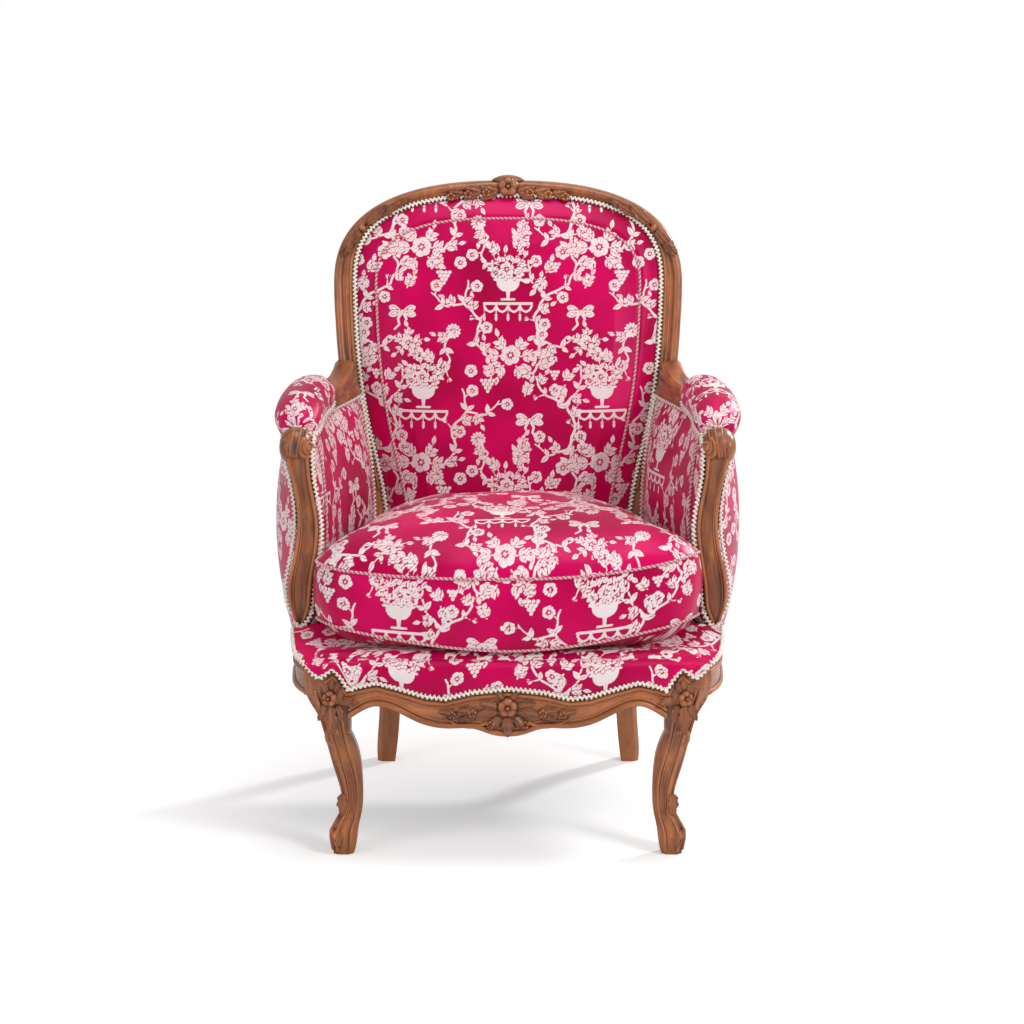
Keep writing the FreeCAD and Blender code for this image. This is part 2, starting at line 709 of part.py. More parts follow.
def arm_surface():
    """Inside arm stations: share of the way to the back, chord ends and crown."""
    crown = size("arm_pad_crown")
    front = size("support_waist_in")
    rear = size("post_seat_in") + size("post_wide")
    wide = size("side_wide_x")
    return [
        (0.0, front, front + 4, crown * 0.12),
        (0.25, wide - 35, wide - 30, crown * 0.65),
        (0.5, wide - 44, wide - 41, crown),
        (0.75, rear + 34, rear + 41, crown * 1.05),
        (1.0, rear - 1, rear + 23, crown * 0.3),
    ]


def arm_front(z):
    """Depth of the rear side of the arm support, where the arm panels begin."""
    return size("support_foot_rear") + 2 + 0.1 * (z - size("arm_pad_under"))


def arm_under(y):
    """Height of the underside of the arm rail at a depth."""
    stations = arm_axis()
    for (y0, _, z0, k0), (y1, _, z1, k1) in zip(stations, stations[1:]):
        if y0 <= y <= y1:
            share = (y - y0) / (y1 - y0)
            tall = size("arm_tall") / 2 * (k0 + (k1 - k0) * share)
            swell = 1.35 if y1 >= 200 and share > 0 else 1.0
            return z0 + (z1 - z0) * share - tall * swell
    return stations[0][2] if y < stations[0][0] else stations[-1][2] - size("arm_tall") * 0.57


def arm_axis_x(y):
    """Half width position of the arm rail axis at a depth."""
    stations = arm_axis()
    for (y0, x0, _, _), (y1, x1, _, _) in zip(stations, stations[1:]):
        if y0 <= y <= y1:
            return x0 + (x1 - x0) * (y - y0) / (y1 - y0)
    return stations[0][1] if y < stations[0][0] else stations[-1][1]


def arm_y(share, z, rear_extra):
    rear = back_face(size("post_low_in"), z) + rear_extra
    return arm_front(z) + (rear - arm_front(z)) * share


def crescent(bottom, top, crown, thick):
    """A thin bowed strip in one tilted plane; negative x is away from the seat."""
    middle = (bottom + top) / 2 + Vector(crown, 0, 0)
    step = Vector(-thick, 0, 0)
    edges = [arc(bottom, middle, top), line(top, top + step),
             arc(top + step, middle + step, bottom + step), line(bottom + step, bottom)]
    return Part.Wire(edges)


def bowed_slice(bottom, top, crown, shift, least):
    """A D-shaped slice: a bowed face and a straight chord behind it."""
    move = Vector(shift, 0, 0)
    back = Vector(shift - math.copysign(least, crown), 0, 0)
    middle = (bottom + top) / 2 + Vector(crown, 0, 0) + move
    edges = [arc(bottom + move, middle, top + move), line(top + move, top + back),
             line(top + back, bottom + back), line(bottom + back, bottom + move)]
    return Part.Wire(edges)


# Inside arms: hessian across the arm frame, a stuffed pad and its cover.
def inside_arm():
    cover, pad, hessian = [], [], []
    cloth = size("cloth_thick")
    gap = size("fit_gap")
    least = 3
    ahead = size("gimp_thick") + 6 * gap
    for share, low_x, high_x, crown in arm_surface():
        low_z = size("arm_pad_under")
        top_z = arm_under(arm_y(share, size("post_arm_height") - 25, -ahead)) - 1
        bottom = Vector(-low_x, arm_y(share, low_z, -ahead), low_z)
        top = Vector(-high_x, arm_y(share, top_z, -ahead), top_z)
        cover.append(crescent(bottom, top, crown, cloth))
        pad.append(bowed_slice(bottom, top, crown, -(cloth + gap), least))
        behind = Vector(-(cloth + least + 2 * gap), 0, 0)
        sheet_step = Vector(-size("hessian_thick"), 0, 0)
        hessian.append(polygon([bottom + behind, top + behind, top + behind + sheet_step,
                                bottom + behind + sheet_step]))
    return loft(cover), loft(pad), loft(hessian)


# Outside arms: a stuffed pad and its cover, from the rebate of the side rail
# to the underside of the arm rail.
def outside_arm():
    cover, pad = [], []
    cloth = size("cloth_thick")
    gap = size("fit_gap")
    crown = size("outside_arm_crown")
    low_z = size("side_rail_show") + 1
    extra = 14
    shares = [(0.0, 0.16), (0.25, 0.95), (0.5, 1.0), (0.75, 0.75), (1.0, 0.25)]
    for share, swell in shares:
        top_z = arm_under(arm_y(share, size("post_arm_height") - 25, extra)) - 1
        low_y = arm_y(share, low_z, extra)
        top_y = arm_y(share, top_z, extra)
        low_x = side_outer(low_y) - size("rebate") + cloth + gap
        high_x = arm_axis_x(top_y) + size("arm_wide") / 2 - 4
        if share == 1.0:
            high_x = size("post_arm_in") + size("post_wide") + cloth + 2
        bottom = Vector(-low_x, low_y, low_z)
        top = Vector(-high_x, top_y, top_z)
        cover.append(crescent(bottom, top, -crown * swell, -cloth))
        pad_z = size("rail_top") + 2
        rise = (pad_z - low_z) / (top_z - low_z)
        lifted = bottom + (top - bottom) * rise
        sag = 4 * rise * (1 - rise) * crown * swell
        pad.append(bowed_slice(lifted - Vector(sag, 0, 0), top, -(crown * swell - sag / 2) * 0.94,
                               cloth + gap, 3))
    return loft(cover), loft(pad)


def oval(u, z, y, half_wide, half_tall):
    """An oval of four arcs in an XZ plane."""
    k = 0.7071
    points = [Vector(u + half_wide * a, y, z + half_tall * b) for a, b in
              [(0, -1), (k, -k), (1, 0), (k, k), (0, 1), (-k, k), (-1, 0), (-k, -k)]]
    edges = [arc(points[i], points[i + 1], points[(i + 2) % 8]) for i in (0, 2, 4, 6)]
    return Part.Wire(edges)


# Armrest pads: a stuffed roll over the arm rail, under its own cover.
def armrest(arm, support):
    span = size("rest_rear") - size("rest_front")
    lift = size("rest_lift")
    rolls = []
    for inset in (0, size("cloth_thick"), size("cloth_thick") + size("fit_gap")):
        wires = []
        for share, swell in [(0.0, 0.76), (0.08, 0.98), (0.35, 1.03), (0.65, 1.02),
                             (0.92, 0.94), (1.0, 0.74)]:
            y = size("rest_front") + span * share
            y += inset if share == 0.0 else 0
            y -= inset if share == 1.0 else 0
            axis_z = arm_under(y) + size("arm_tall") / 2
            x = -(arm_axis_x(y) - 6)
            wires.append(oval(x, axis_z + lift, y, size("rest_wide") * swell - inset,
                              size("rest_tall") * swell - inset))
        rolls.append(loft(wires))
    cover = biggest(rolls[0].cut(rolls[1]).cut(arm).cut(support))
    pad = biggest(rolls[2].cut(arm).cut(support))
    return cover, pad


def back_outline(inset, low_z):
    """The opening of the back frame in the XZ plane, drawn in by an inset."""
    heights = [low_z + (size("crest_foot") - low_z) * step / 6 for step in range(7)]
    right = [Vector(post_inner(z) - inset, 0, z) for z in heights]
    left = [Vector(-point.x, 0, point.z) for point in right]
    arch = []
    for step in range(0, 17):
        x, z = crest_pair(math.pi * step / 16, inset)[1]
        arch.append(Vector(x, 0, z))
    edges = [spline(left), spline(list(reversed(arch))), spline(list(reversed(right))),
             line(right[0], left[0])]
    return edges


def back_prism(inset, low_z):
    shape = prism(back_outline(inset, low_z), Vector(0, 500, 0))
    shape.translate(Vector(0, 50, 0))
    return shape


def back_crown_at(z):
    """Crown of the inside back before the frame face at a height."""
    low = size("back_pad_under")
    share = (z - low) / (size("crest_in_top") - low)
    falling = size("back_crown") - size("back_crown_top")
    return size("back_crown") + 6 * math.sin(math.pi * share) - falling * share ** 2


def back_slab(front_offset, rear_offset, crowned, low_z):
    """A slab across the back: bowed front and a rear that follows the frame."""
    wires = []
    half = size("crest_in_wide") + 6
    for step in range(0, 7):
        z = low_z - 5 + (size("crest_in_top") + 12 - low_z) * step / 6
        edge = back_face(half, z)
        middle = back_face(0, z)
        rise = size("back_edge_rise") if crowned else 0
        crown = back_crown_at(z) if crowned else 0
        a = Vector(-half, edge - rise + front_offset, z)
        b = Vector(half, edge - rise + front_offset, z)
        c = Vector(half, edge + rear_offset, z)
        d = Vector(-half, edge + rear_offset, z)
        front_mid = Vector(0, middle - crown + front_offset, z)
        rear_mid = Vector(0, middle + rear_offset, z)
        wires.append(Part.Wire([arc(a, front_mid, b), line(b, c), arc(c, rear_mid, d),
                                line(d, a)]))
    return loft(wires)


# Inside back: a cap-shaped cover over a crowned pad, hessian and webbing.
def back_upholstery():
    low = size("back_pad_under")
    cloth = size("cloth_thick")
    gap = size("fit_gap")
    skin = 2 * gap
    outer = back_prism(skin, low).common(back_slab(0, 3, True, low))
    inner = back_prism(skin + cloth, low + cloth).common(back_slab(cloth, 30, True, low))
    cover = outer.cut(inner)
    pad = back_prism(skin + cloth + gap, low + cloth + gap)
    pad = pad.common(back_slab(cloth + gap, 3, True, low))
    cloth_rear = 3 + gap
    hessian = back_prism(skin, low)
    hessian = hessian.common(back_slab(cloth_rear, cloth_rear + size("hessian_thick"), False, low))
    outside = back_prism(skin, low).common(
        back_slab(size("post_deep") - 4, size("post_deep") - 4 + cloth, False, low))
    return cover, pad, hessian, outside


def back_webbing():
    thick = size("webbing_thick")
    behind = 3 + 2 * size("fit_gap") + size("hessian_thick")
    half = size("webbing_wide") / 2
    upright, crosswise = [], []
    low = size("back_pad_under")
    for x in (-150, -75, 0, 75, 150):
        reach = (1 - (abs(x) + half) ** size("crest_in_power")
                 / size("crest_in_wide") ** size("crest_in_power"))
        top = size("crest_foot") + ((size("crest_in_top") - size("crest_foot"))
                                    * reach ** (1 / size("crest_in_power"))) - 1
        wires = []
        for z in (low, top):
            near = back_face(x - half, z) + behind
            far = back_face(x + half, z) + behind
            wires.append(polygon([
                Vector(x - half, near, z), Vector(x + half, far, z),
                Vector(x + half, far + thick, z), Vector(x - half, near + thick, z)]))
        upright.append(loft(wires, True))
    deeper = behind + thick + 3 * size("fit_gap")
    for z in (430, 530, 630, 730, 830):
        wires = []
        for level in (z - half, z + half):
            end = min(post_inner(min(z - half, size("crest_foot"))),
                      post_inner(min(z + half, size("crest_foot")))) - 1
            if z > size("crest_foot"):
                end -= 9
            a = Vector(-end, back_face(end, level) + deeper, level)
            b = Vector(end, a.y, level)
            mid = Vector(0, back_face(0, level) + deeper, level)
            step = Vector(0, thick, 0)
            wires.append(Part.Wire([arc(a, mid, b), line(b, b + step),
                                    arc(b + step, mid + step, a + step), line(a + step, a)]))
        crosswise.append(loft(wires, True))
    return upright, crosswise


def deck_wire(z, inset):
    """Plan outline of the seat deck at a height, drawn in by an inset."""
    front = size("rail_front") + 3 + inset
    bow = size("rail_bow")
    corner_x = -(size("leg_inner") + 28) + 0.3 * inset
    half = [(corner_x, front), (-(size("side_front_x") - 4) + 0.8 * inset, -258 + 0.4 * inset),
            (-(side_outer(-200) - 4) + inset, -200)]
    for y in (-130, -60, 12, 90, 150):
        half.append((-(side_outer(y) - 14) + inset, y))
    half.append((-(size("post_seat_in") + 8) + inset, size("deck_rear") - 34 - 0.4 * inset))
    half.append((-(size("post_seat_in") - 1) + inset, size("deck_rear") - 26 - 0.4 * inset))
    half.append((-(size("post_seat_in") - 1) + inset, size("deck_rear") - inset))
    left = [Vector(x, y, z) for x, y in half]
    right = [Vector(-x, y, z) for x, y in half]
    edges = [arc(right[0], Vector(0, front - bow, z), left[0])]
    edges += [line(a, b) for a, b in zip(left, left[1:])]
    edges.append(line(left[-1], right[-1]))
    edges += [line(a, b) for a, b in zip(reversed(right), list(reversed(right))[1:])]
    return Part.Wire(edges)


def deck_form(shrink, low_z):
    top = size("deck_crown_top") - shrink
    edge = size("deck_edge_top") - shrink
    levels = [(low_z, shrink), (edge - 9, shrink), (edge, 7 + shrink),
              (top - 4, 26 + shrink), (top, 64 + shrink)]
    return loft([deck_wire(z, inset) for z, inset in levels], True)


# Seat deck: a pad on hessian and webbing, under a cover that rolls over the
# front rail and is tacked into its rebate.
def seat_deck(wood):
    cloth = size("cloth_thick")
    gap = size("fit_gap")
    low = size("front_top_dip") - 1
    top = size("rail_top")
    hollow = [box(-500, 500, size("support_foot_face") - 10, 500, 0, top),
              box(3 - size("support_foot_in"), size("support_foot_in") - 3, size("rail_front") + 40,
                  0, 0, top)]
    cover = deck_form(0, low).cut(deck_form(cloth, low - 20))
    for piece in wood + hollow:
        cover = cover.cut(piece)
    webbing_top = top + 2 * (size("webbing_thick") + 0.1)
    hessian_top = webbing_top + 0.1 + size("hessian_thick")
    pad = deck_form(cloth + 5 * gap, low).common(box(-500, 500, -500, 500, hessian_top + gap, 500))
    for piece in wood:
        pad = pad.cut(piece)
    hessian = deck_wire(webbing_top + 0.1, 16)
    hessian = Part.Face(hessian).extrude(Vector(0, 0, size("hessian_thick")))
    for piece in wood:
        hessian = hessian.cut(piece)
    return biggest(cover), biggest(pad), biggest(hessian)


def cushion_points(inset):
    """Half of the plan outline of the cushion, from the middle of the front."""
    front = size("cushion_front") + inset
    ear = size("cushion_ear") - inset
    ear_y = size("cushion_ear_rear") - 0.2 * inset
    side = size("cushion_side_front") - inset
    rear = size("cushion_side_rear") - inset
    rear_y = size("cushion_rear") - inset
    return front, ear, ear_y, side, rear, rear_y


def cushion_wire(z, inset, scale=1.0):
    """Closed plan outline of the cushion at a height: lines and short arcs."""
    middle = Vector(0, (size("cushion_front") + size("cushion_rear")) / 2, z)
    front, ear, ear_y, side, rear, rear_y = cushion_points(inset)
    bow = size("cushion_front_bow")
    shoulder = Vector(-(ear - 58), front + bow, z)
    corner = Vector(-(ear - 15), front + bow + 24, z)
    ear_front = Vector(-ear, front + bow + 66 - 0.3 * inset, z)
    ear_back = Vector(-(ear - 3), max(ear_y, ear_front.y + 2), z)
    side_front = Vector(-side, ear_back.y + 30, z)
    waist = Vector(-(side - (side - rear) * 0.36), side_front.y + (rear_y - side_front.y) * 0.6, z)
    rear_side = Vector(-rear, rear_y - 22, z)
    rear_corner = Vector(-(rear - 7), rear_y - 6, z)
    rear_end = Vector(-(rear - 24), rear_y, z)
    left = [shoulder, corner, ear_front, ear_back, side_front, waist, rear_side, rear_corner,
            rear_end]
    left = [middle + (point - middle) * scale for point in left]
    right = [Vector(-point.x, point.y, point.z) for point in left]
    front_middle = middle + (Vector(0, front, z) - middle) * scale
    return Part.Wire([
        arc(right[0], front_middle, left[0]), arc(left[0], left[1], left[2]),
        line(left[2], left[3]), line(left[3], left[4]), arc(left[4], left[5], left[6]),
        arc(left[6], left[7], left[8]), line(left[8], right[8]),
        arc(right[8], right[7], right[6]), arc(right[6], right[5], right[4]),
        line(right[4], right[3]), line(right[3], right[2]), arc(right[2], right[1], right[0]),
    ])


def cushion_form(shrink):
    under = size("deck_crown_top") + size("fit_gap") + shrink
    low = size("cushion_low_seam")
    top = size("cushion_top_seam")
    crown = size("cushion_crown") - shrink
    rise = crown - top
    bulge = size("cushion_bulge")
    tall = top - low
    levels = [(under, 0, 0.8), (under + 8, 0, 0.93), (low, 0, 1), (low + tall * 0.25, -bulge * 0.8, 1),
              (low + tall * 0.5, -bulge, 1), (low + tall * 0.75, -bulge * 0.8, 1), (top, 0, 1),
              (top + rise * 0.3, 0, 0.93), (top + rise * 0.58, 0, 0.8),
              (top + rise * 0.8, 0, 0.63), (top + rise * 0.94, 0, 0.43), (crown, 0, 0.22)]
    return loft([cushion_wire(z, inset + shrink, scale) for z, inset, scale in levels], True)


# Loose cushion: a sewn case with a crown and a bulging band, and its filling.
def cushion():
    cloth = size("cushion_cloth")
    filling = cushion_form(cloth + size("fit_gap"))
    return cushion_form(0).cut(cushion_form(cloth)), filling


def ring(points, radius):
    """A round cord along a closed line, in two lengths that meet end to end."""
    sides = 6
    count = len(points)
    lengths = []
    for start in (0, count // 2):
        wires = []
        for index in range(start, start + count // 2 + 1):
            here = points[index % count]
            ahead = points[(index + 1) % count] - points[(index - 1) % count]
            ahead.normalize()
            across = Vector(0, 0, 1).cross(ahead)
            across.normalize()
            up = ahead.cross(across)
            wires.append(polygon([here + across * (radius * math.cos(2 * math.pi * k / sides))
                                  + up * (radius * math.sin(2 * math.pi * k / sides))
                                  for k in range(sides)]))
        lengths.append(loft(wires, True))
    return lengths


def cushion_cord(z):
    wire = cushion_wire(z, -(size("cord_round") + 7 * size("fit_gap")))
    points = wire.discretize(193)[:-1]
    eased = [(points[k - 1] + points[k] * 2 + points[(k + 1) % len(points)]) * 0.25
             for k in range(len(points))]
    return ring(eased, size("cord_round"))


def band(path, faces, wide, thick):
    """A flat braid along a path; faces are the directions it is seen from."""
    wires = []
    for index, here in enumerate(path):
        ahead = path[min(index + 1, len(path) - 1)] - path[max(index - 1, 0)]
        ahead.normalize()
        face = faces[index]
        across = ahead.cross(face)
        across.normalize()
        face = across.cross(ahead)
        a = across * (wide / 2)
        n = face * (thick / 2)
        wires.append(polygon([here - a - n, here + a - n, here + a + n, here - a + n]))
    return loft(wires, True)


def frame_line(offset, low_z, count):
    """Points round the opening of the back frame, outside it by an offset."""
    points = []
    for step in range(count):
        z = low_z + (size("crest_foot") - 20 - low_z) * step / (count - 1)
        points.append((post_inner(z) + offset, z))
    for step in range(0, 25):
        points.append(crest_pair(math.pi * step / 24, -offset)[1])
    for step in reversed(range(count)):
        z = low_z + (size("crest_foot") - 20 - low_z) * step / (count - 1)
        points.append((-(post_inner(z) + offset), z))
    return points


def crown_depth(x, z):
    """Depth of the crowned face of the inside back."""
    half = size("crest_in_wide") + 6
    edge = back_face(half, z) - size("back_edge_rise")
    sag = edge - (back_face(0, z) - back_crown_at(z))
    radius = (half ** 2 + sag ** 2) / (2 * sag)
    return edge - sag + radius - math.sqrt(radius ** 2 - x ** 2)


def back_cord():
    """Piping round the inside back, on the seam inside the gimp."""
    radius = size("cord_round")
    points = []
    for x, z in frame_line(-size("back_cord_inset"), size("cushion_low_seam") + 40, 10):
        points.append(Vector(x, crown_depth(x, z) - radius - 2 * size("fit_gap"), z))
    wires = []
    for index, here in enumerate(points):
        ahead = points[min(index + 1, len(points) - 1)] - points[max(index - 1, 0)]
        ahead.normalize()
        across = ahead.cross(Vector(0, 1, 0))
        across.normalize()
        up = across.cross(ahead)
        wires.append(polygon([here + across * (radius * math.cos(math.pi * k / 3))
                              + up * (radius * math.sin(math.pi * k / 3)) for k in range(6)]))
    return loft(wires, True)


def arm_gimp():
    """Braid down the front edge of the inside arm, beside the arm support."""
    wide = size("gimp_wide")
    thick = size("gimp_thick")
    share, low_x, high_x, crown = arm_surface()[0]
    path, faces = [], []
    low_z = size("arm_pad_under") + 4
    high_z = arm_under(arm_front(size("post_arm_height") - 30)) - 3
    for step in range(0, 9):
        t = step / 8
        z = low_z + (high_z - low_z) * t
        x = low_x + (high_x - low_x) * t - 4 * crown * t * (1 - t)
        path.append(Vector(-x + thick / 2 + 2, arm_front(z) + wide / 2 + 1, z))
        faces.append(Vector(1, 0, 0))
    return band(path, faces, wide, thick)


def dust_cover(wood):
    """Black cloth tacked under the side and rear rails, and its tacks."""
    under = size("rail_under") - size("dust_cover_drop") - size("hessian_thick")
    edge = 14
    half = [(size("leg_inner") - 4, size("leg_rear") + 2)]
    for y in (-200, -130, -60, 12, 90, 150):
        half.append((side_outer(y) - edge, y))
    half.append((size("post_seat_in") - 2, size("rear_rail_face") + 12))
    left = [Vector(-x, y, under) for x, y in half]
    right = [Vector(x, y, under) for x, y in reversed(half)]
    sheet_face = Part.Face(polygon(left + right))
    cloth = sheet_face.extrude(Vector(0, 0, size("hessian_thick")))
    for piece in wood:
        cloth = cloth.cut(piece)
    tacks = []
    gap = size("fit_gap") / 3
    for y in range(-190, 150, 34):
        for hand in (-1, 1):
            x = hand * (side_outer(y) - edge - 9)
            start = Vector(x, y, under - size("tack_thick") - gap)
            tacks.append(Part.makeCylinder(size("tack_wide") / 2, size("tack_thick"), start))
    for x in range(-144, 145, 48):
        start = Vector(x, size("rear_rail_face") + 5, under - size("tack_thick") - gap)
        tacks.append(Part.makeCylinder(size("tack_wide") / 2, size("tack_thick"), start))
    return biggest(cloth), tacks


def back_gimp(rear):
    wide = size("gimp_wide")
    thick = size("gimp_thick")
    path, faces = [], []
    side = 1 if rear else -1
    stand = thick / 2 + 4 * size("fit_gap")
    for x, z in frame_line(wide / 2 + 0.5, size("back_pad_under") + 2, 8):
        base = back_face(x, z) + (size("post_deep") if rear else 0)
        path.append(Vector(x, base + side * stand, z))
        faces.append(Vector(0, side, 0))
    return band(path, faces, wide, thick)


def deck_gimp():
    """Braid over the lower edge of the deck cover, along the front rail."""
    wide = size("gimp_wide")
    thick = size("gimp_thick")
    half = size("leg_inner") + 28
    path, faces = [], []
    curve = Part.BSplineCurve()
    curve.interpolate([Vector(x, 0, z) for x, z in front_top_line()])
    for step in range(0, 33):
        share = 0.01 + 0.98 * step / 32
        point = curve.value(curve.FirstParameter
                            + (curve.LastParameter - curve.FirstParameter) * share)
        bow = size("rail_bow") * (1 - (point.x / half) ** 2)
        y = size("rail_front") + 3 - bow - thick / 2 - 0.4
        path.append(Vector(point.x, y, point.z + wide / 2 + 1.5))
        faces.append(Vector(0, -1, 0))
    return band(path, faces, wide, thick)


# Corner blocks: glued and screwed into the four corners of the seat frame.
def corner_blocks(wood):
    high = size("rail_top") - size("block_drop")
    low = high - size("block_tall")
    front = size("front_rail_rear")
    front_points = [(-size("leg_inner"), size("leg_rear")), (-size("leg_inner"), front),
                    (-158, front), (-296, -150), (-296, size("leg_rear"))]
    inner = size("post_seat_in") - size("fit_gap")
    rear = size("rear_rail_face")
    rear_points = [(-inner, rear), (-112, rear), (-280, 104), (-280, rear - 30), (-inner, rear - 30)]
    blocks = []
    for points in (front_points, rear_points):
        face = Part.Face(polygon([Vector(x, y, low) for x, y in points]))
        block = face.extrude(Vector(0, 0, high - low))
        for piece in wood:
            block = block.cut(piece)
        blocks.append(biggest(block))
    return blocks


def screw(start, direction):
    """A countersunk screw and its hole, seated flush in the block."""
    wide = size("screw_wide") / 2
    shank = Part.makeCylinder(wide, size("screw_long"), start, direction)
    head = Part.makeCone(wide * 2, wide, wide * 1.3, start, direction)
    gap = size("joint_gap")
    hole = Part.makeCylinder(wide + gap, size("screw_long") + gap, start, direction)
    sink = Part.makeCone(wide * 2 + gap, wide + gap, wide * 1.3, start, direction)
    return shank.fuse(head).removeSplitter(), hole.fuse(sink)


leg, post, front, side, pins = seat_frame()
post, crest = back_frame_joints(post, crest_rail(), pins)

# The straight rails between the posts, and their mortises.
rear_rail = straight_rail("rear_rail", "(sizes.rail_top - sizes.rear_rail_tall)",
                          "sizes.rear_rail_tall", "sizes.rear_rail_thick", "sizes.rear_rail_face")
post = cut_socket(post, size("rail_top") - size("rear_rail_tall"), size("rear_rail_tall"),
                  size("rear_rail_thick"), size("rear_rail_face"))
low_rail = straight_rail("back_lower_rail", "0", "sizes.low_rail_tall", "sizes.low_rail_thick", "0")
rake_angle = -math.degrees(math.atan(size("rake")))
low_face = back_face(size("post_seat_in"), size("low_rail_under")) + 5
low_seat = Vector(0, low_face, size("low_rail_under"))
low_rail.Placement = FreeCAD.Placement(low_seat, FreeCAD.Rotation(Vector(1, 0, 0), rake_angle))
post = cut_socket(post, low_seat.z, size("low_rail_tall"), size("low_rail_thick"), low_face,
                  rake_angle, low_seat)

# The arms: the support stands on the side rail, and the rail joins it to the post.
support = arm_support()
arm = biggest(arm_rail().cut(post).cut(support))
foot_x = -(size("support_foot_out") + size("support_foot_in")) / 2
foot_y = (size("support_foot_face") + size("support_foot_rear")) / 2 + 4
foot_half = (size("arm_tenon") / 2, size("arm_tenon") / 2 + 3, size("tenon_long") / 2)
support, side = joined(support, side, (foot_x, foot_y, size("rail_top") - 2), foot_half)
scroll_x = -(size("scroll_out") + size("scroll_in")) / 2
front_half = (size("arm_tenon") / 2, size("scroll_round") * 0.7, size("arm_tenon") / 2 - 2)
front_joint = (scroll_x, size("scroll_y") + size("scroll_round"), size("scroll_height") + 4)
arm, support = joined(arm, support, front_joint, front_half)
joint_x = -size("arm_rear_x") + 4
rear_joint = (joint_x, back_face(joint_x, size("arm_rear_height")), size("arm_rear_height"))
rear_half = (size("arm_tenon") / 2, size("tenon_long") / 2 + 6, size("arm_tenon") / 2)
arm, post = joined(arm, post, rear_joint, rear_half)
arm = biggest(arm)

# Corner blocks and their screws, two in each block.
blocks = corner_blocks([leg, front, side, post])
screws = []
screw_z = size("rail_top") - size("block_drop") - size("block_tall") / 2
front_screw = (Vector(-190, -212, screw_z), Vector(0, -1, 0), 0)
side_screw = (Vector(-236, -186, screw_z + 8), Vector(-1, 0, 0), 0)
rear_screw = (Vector(-196, 128, screw_z - 8), Vector(-1, 0.1, 0), 1)
flank_screw = (Vector(-196, 128, screw_z + 8), Vector(-1, 0.1, 0), 1)
for start, direction, index in (front_screw, side_screw, rear_screw, flank_screw):
    body, hole = screw(start, direction)
    screws.append(body)
    blocks[index] = blocks[index].cut(hole)
    front = front.cut(hole).cut(mirrored(hole))
    side = side.cut(hole)

keep_pair("front_leg", leg)
keep_pair("back_post", post)
keep("front_rail", front)
keep_pair("side_rail", side)
sub_parts.append(rear_rail)
sub_parts.append(low_rail)
keep("crest_rail", crest)
keep_pair("arm_support", support)
keep_pair("arm_rail", arm)
group("corner_blocks", blocks + [mirrored(block) for block in blocks])
group("corner_block_screws", screws + [mirrored(body) for body in screws])
group("joint_pegs", pins)

# Seat webbing: boxes on two levels, lengthwise under crosswise.
level = size("rail_top") + 0.1
thick = size("webbing_thick")
half_web = size("webbing_wide") / 2
strips = []
for column in (-2, -1, 0, 1, 2):
    x = column * size("webbing_pitch")
    strips.append(box(x - half_web, x + half_web, size("front_rail_rear") - 28,
                      size("rear_rail_face") + 22, level, level + thick))
group("seat_webbing_lengthwise", strips)
level += thick + 0.1
strips = []
for row in range(5):
    y = -200 + row * size("webbing_pitch")
    reach = min(side_outer(y - half_web), side_outer(y + half_web)) - 24
    reach = min(reach, size("support_foot_in") - 5)
    strips.append(box(-reach, reach, y - half_web, y + half_web, level, level + thick))
group("seat_webbing_crosswise", strips)

wood = [leg, mirrored(leg), front, side, mirrored(side), support, mirrored(support), post,
        mirrored(post)]
deck_cover, deck_pad, deck_hessian = seat_deck(wood)
keep("seat_deck_cover", deck_cover)
keep("seat_deck_pad", deck_pad)
keep("seat_hessian", deck_hessian)
keep("deck_gimp", deck_gimp())

back_wood = [post, mirrored(post), crest]
back_layers = [carved(shape, back_wood) for shape in back_upholstery()]
back_cover, back_pad, back_hessian, back_outside = back_layers
keep("back_inside_cover", back_cover)
keep("back_pad", back_pad)
keep("back_hessian", back_hessian)
keep("back_outside_cover", back_outside)
upright, crosswise = back_webbing()
group("back_webbing_upright", upright)
group("back_webbing_crosswise", crosswise)
keep("back_inside_gimp", back_gimp(False))
keep("back_outside_gimp", back_gimp(True))

arm_wood = [support, arm, post, side]
arm_cover, arm_pad, arm_hessian = [carved(shape, arm_wood) for shape in inside_arm()]
keep_pair("inside_arm_cover", arm_cover)
keep_pair("inside_arm_pad", arm_pad)
keep_pair("arm_hessian", arm_hessian)
outer_cover, outer_pad = [carved(shape, arm_wood) for shape in outside_arm()]
keep_pair("outside_arm_cover", outer_cover)
keep_pair("outside_arm_pad", outer_pad)
rest_cover, rest_pad = armrest(arm, support)
keep_pair("armrest_cover", rest_cover)
keep_pair("armrest_pad", rest_pad)

keep("back_piping", back_cord())
keep_pair("inside_arm_gimp", arm_gimp())
dust, tacks = dust_cover(wood)
keep("dust_cover", dust)
group("dust_cover_tacks", tacks)

case, filling = cushion()
keep("cushion_cover", case)
keep("cushion_filling", filling)
group("cushion_piping_top", cushion_cord(size("cushion_top_seam")))
group("cushion_piping_bottom", cushion_cord(size("cushion_low_seam")))

doc.recompute()
for item in doc.Objects:
    if "Invalid" in item.State or "Error" in item.State:
        raise RuntimeError(f"{item.Label}: {item.State}")
whole = FreeCAD.BoundBox()
for item in sub_parts:
    if item.Shape.isNull() or not item.Shape.isValid():
        raise RuntimeError(f"{item.Label}: no valid shape")
    whole.add(item.Shape.optimalBoundingBox(False, False))
shift = Vector(-whole.Center.x, -whole.Center.y, -whole.ZMin)
os.makedirs("parts", exist_ok=True)
for item in sub_parts:
    item.Placement = FreeCAD.Placement(shift, FreeCAD.Rotation()).multiply(item.Placement)
doc.recompute()
for item in sub_parts:
    item.Shape.exportStep(f"parts/{item.Label}.step")
print("origin shift", shift, "overall", whole)
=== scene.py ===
import math

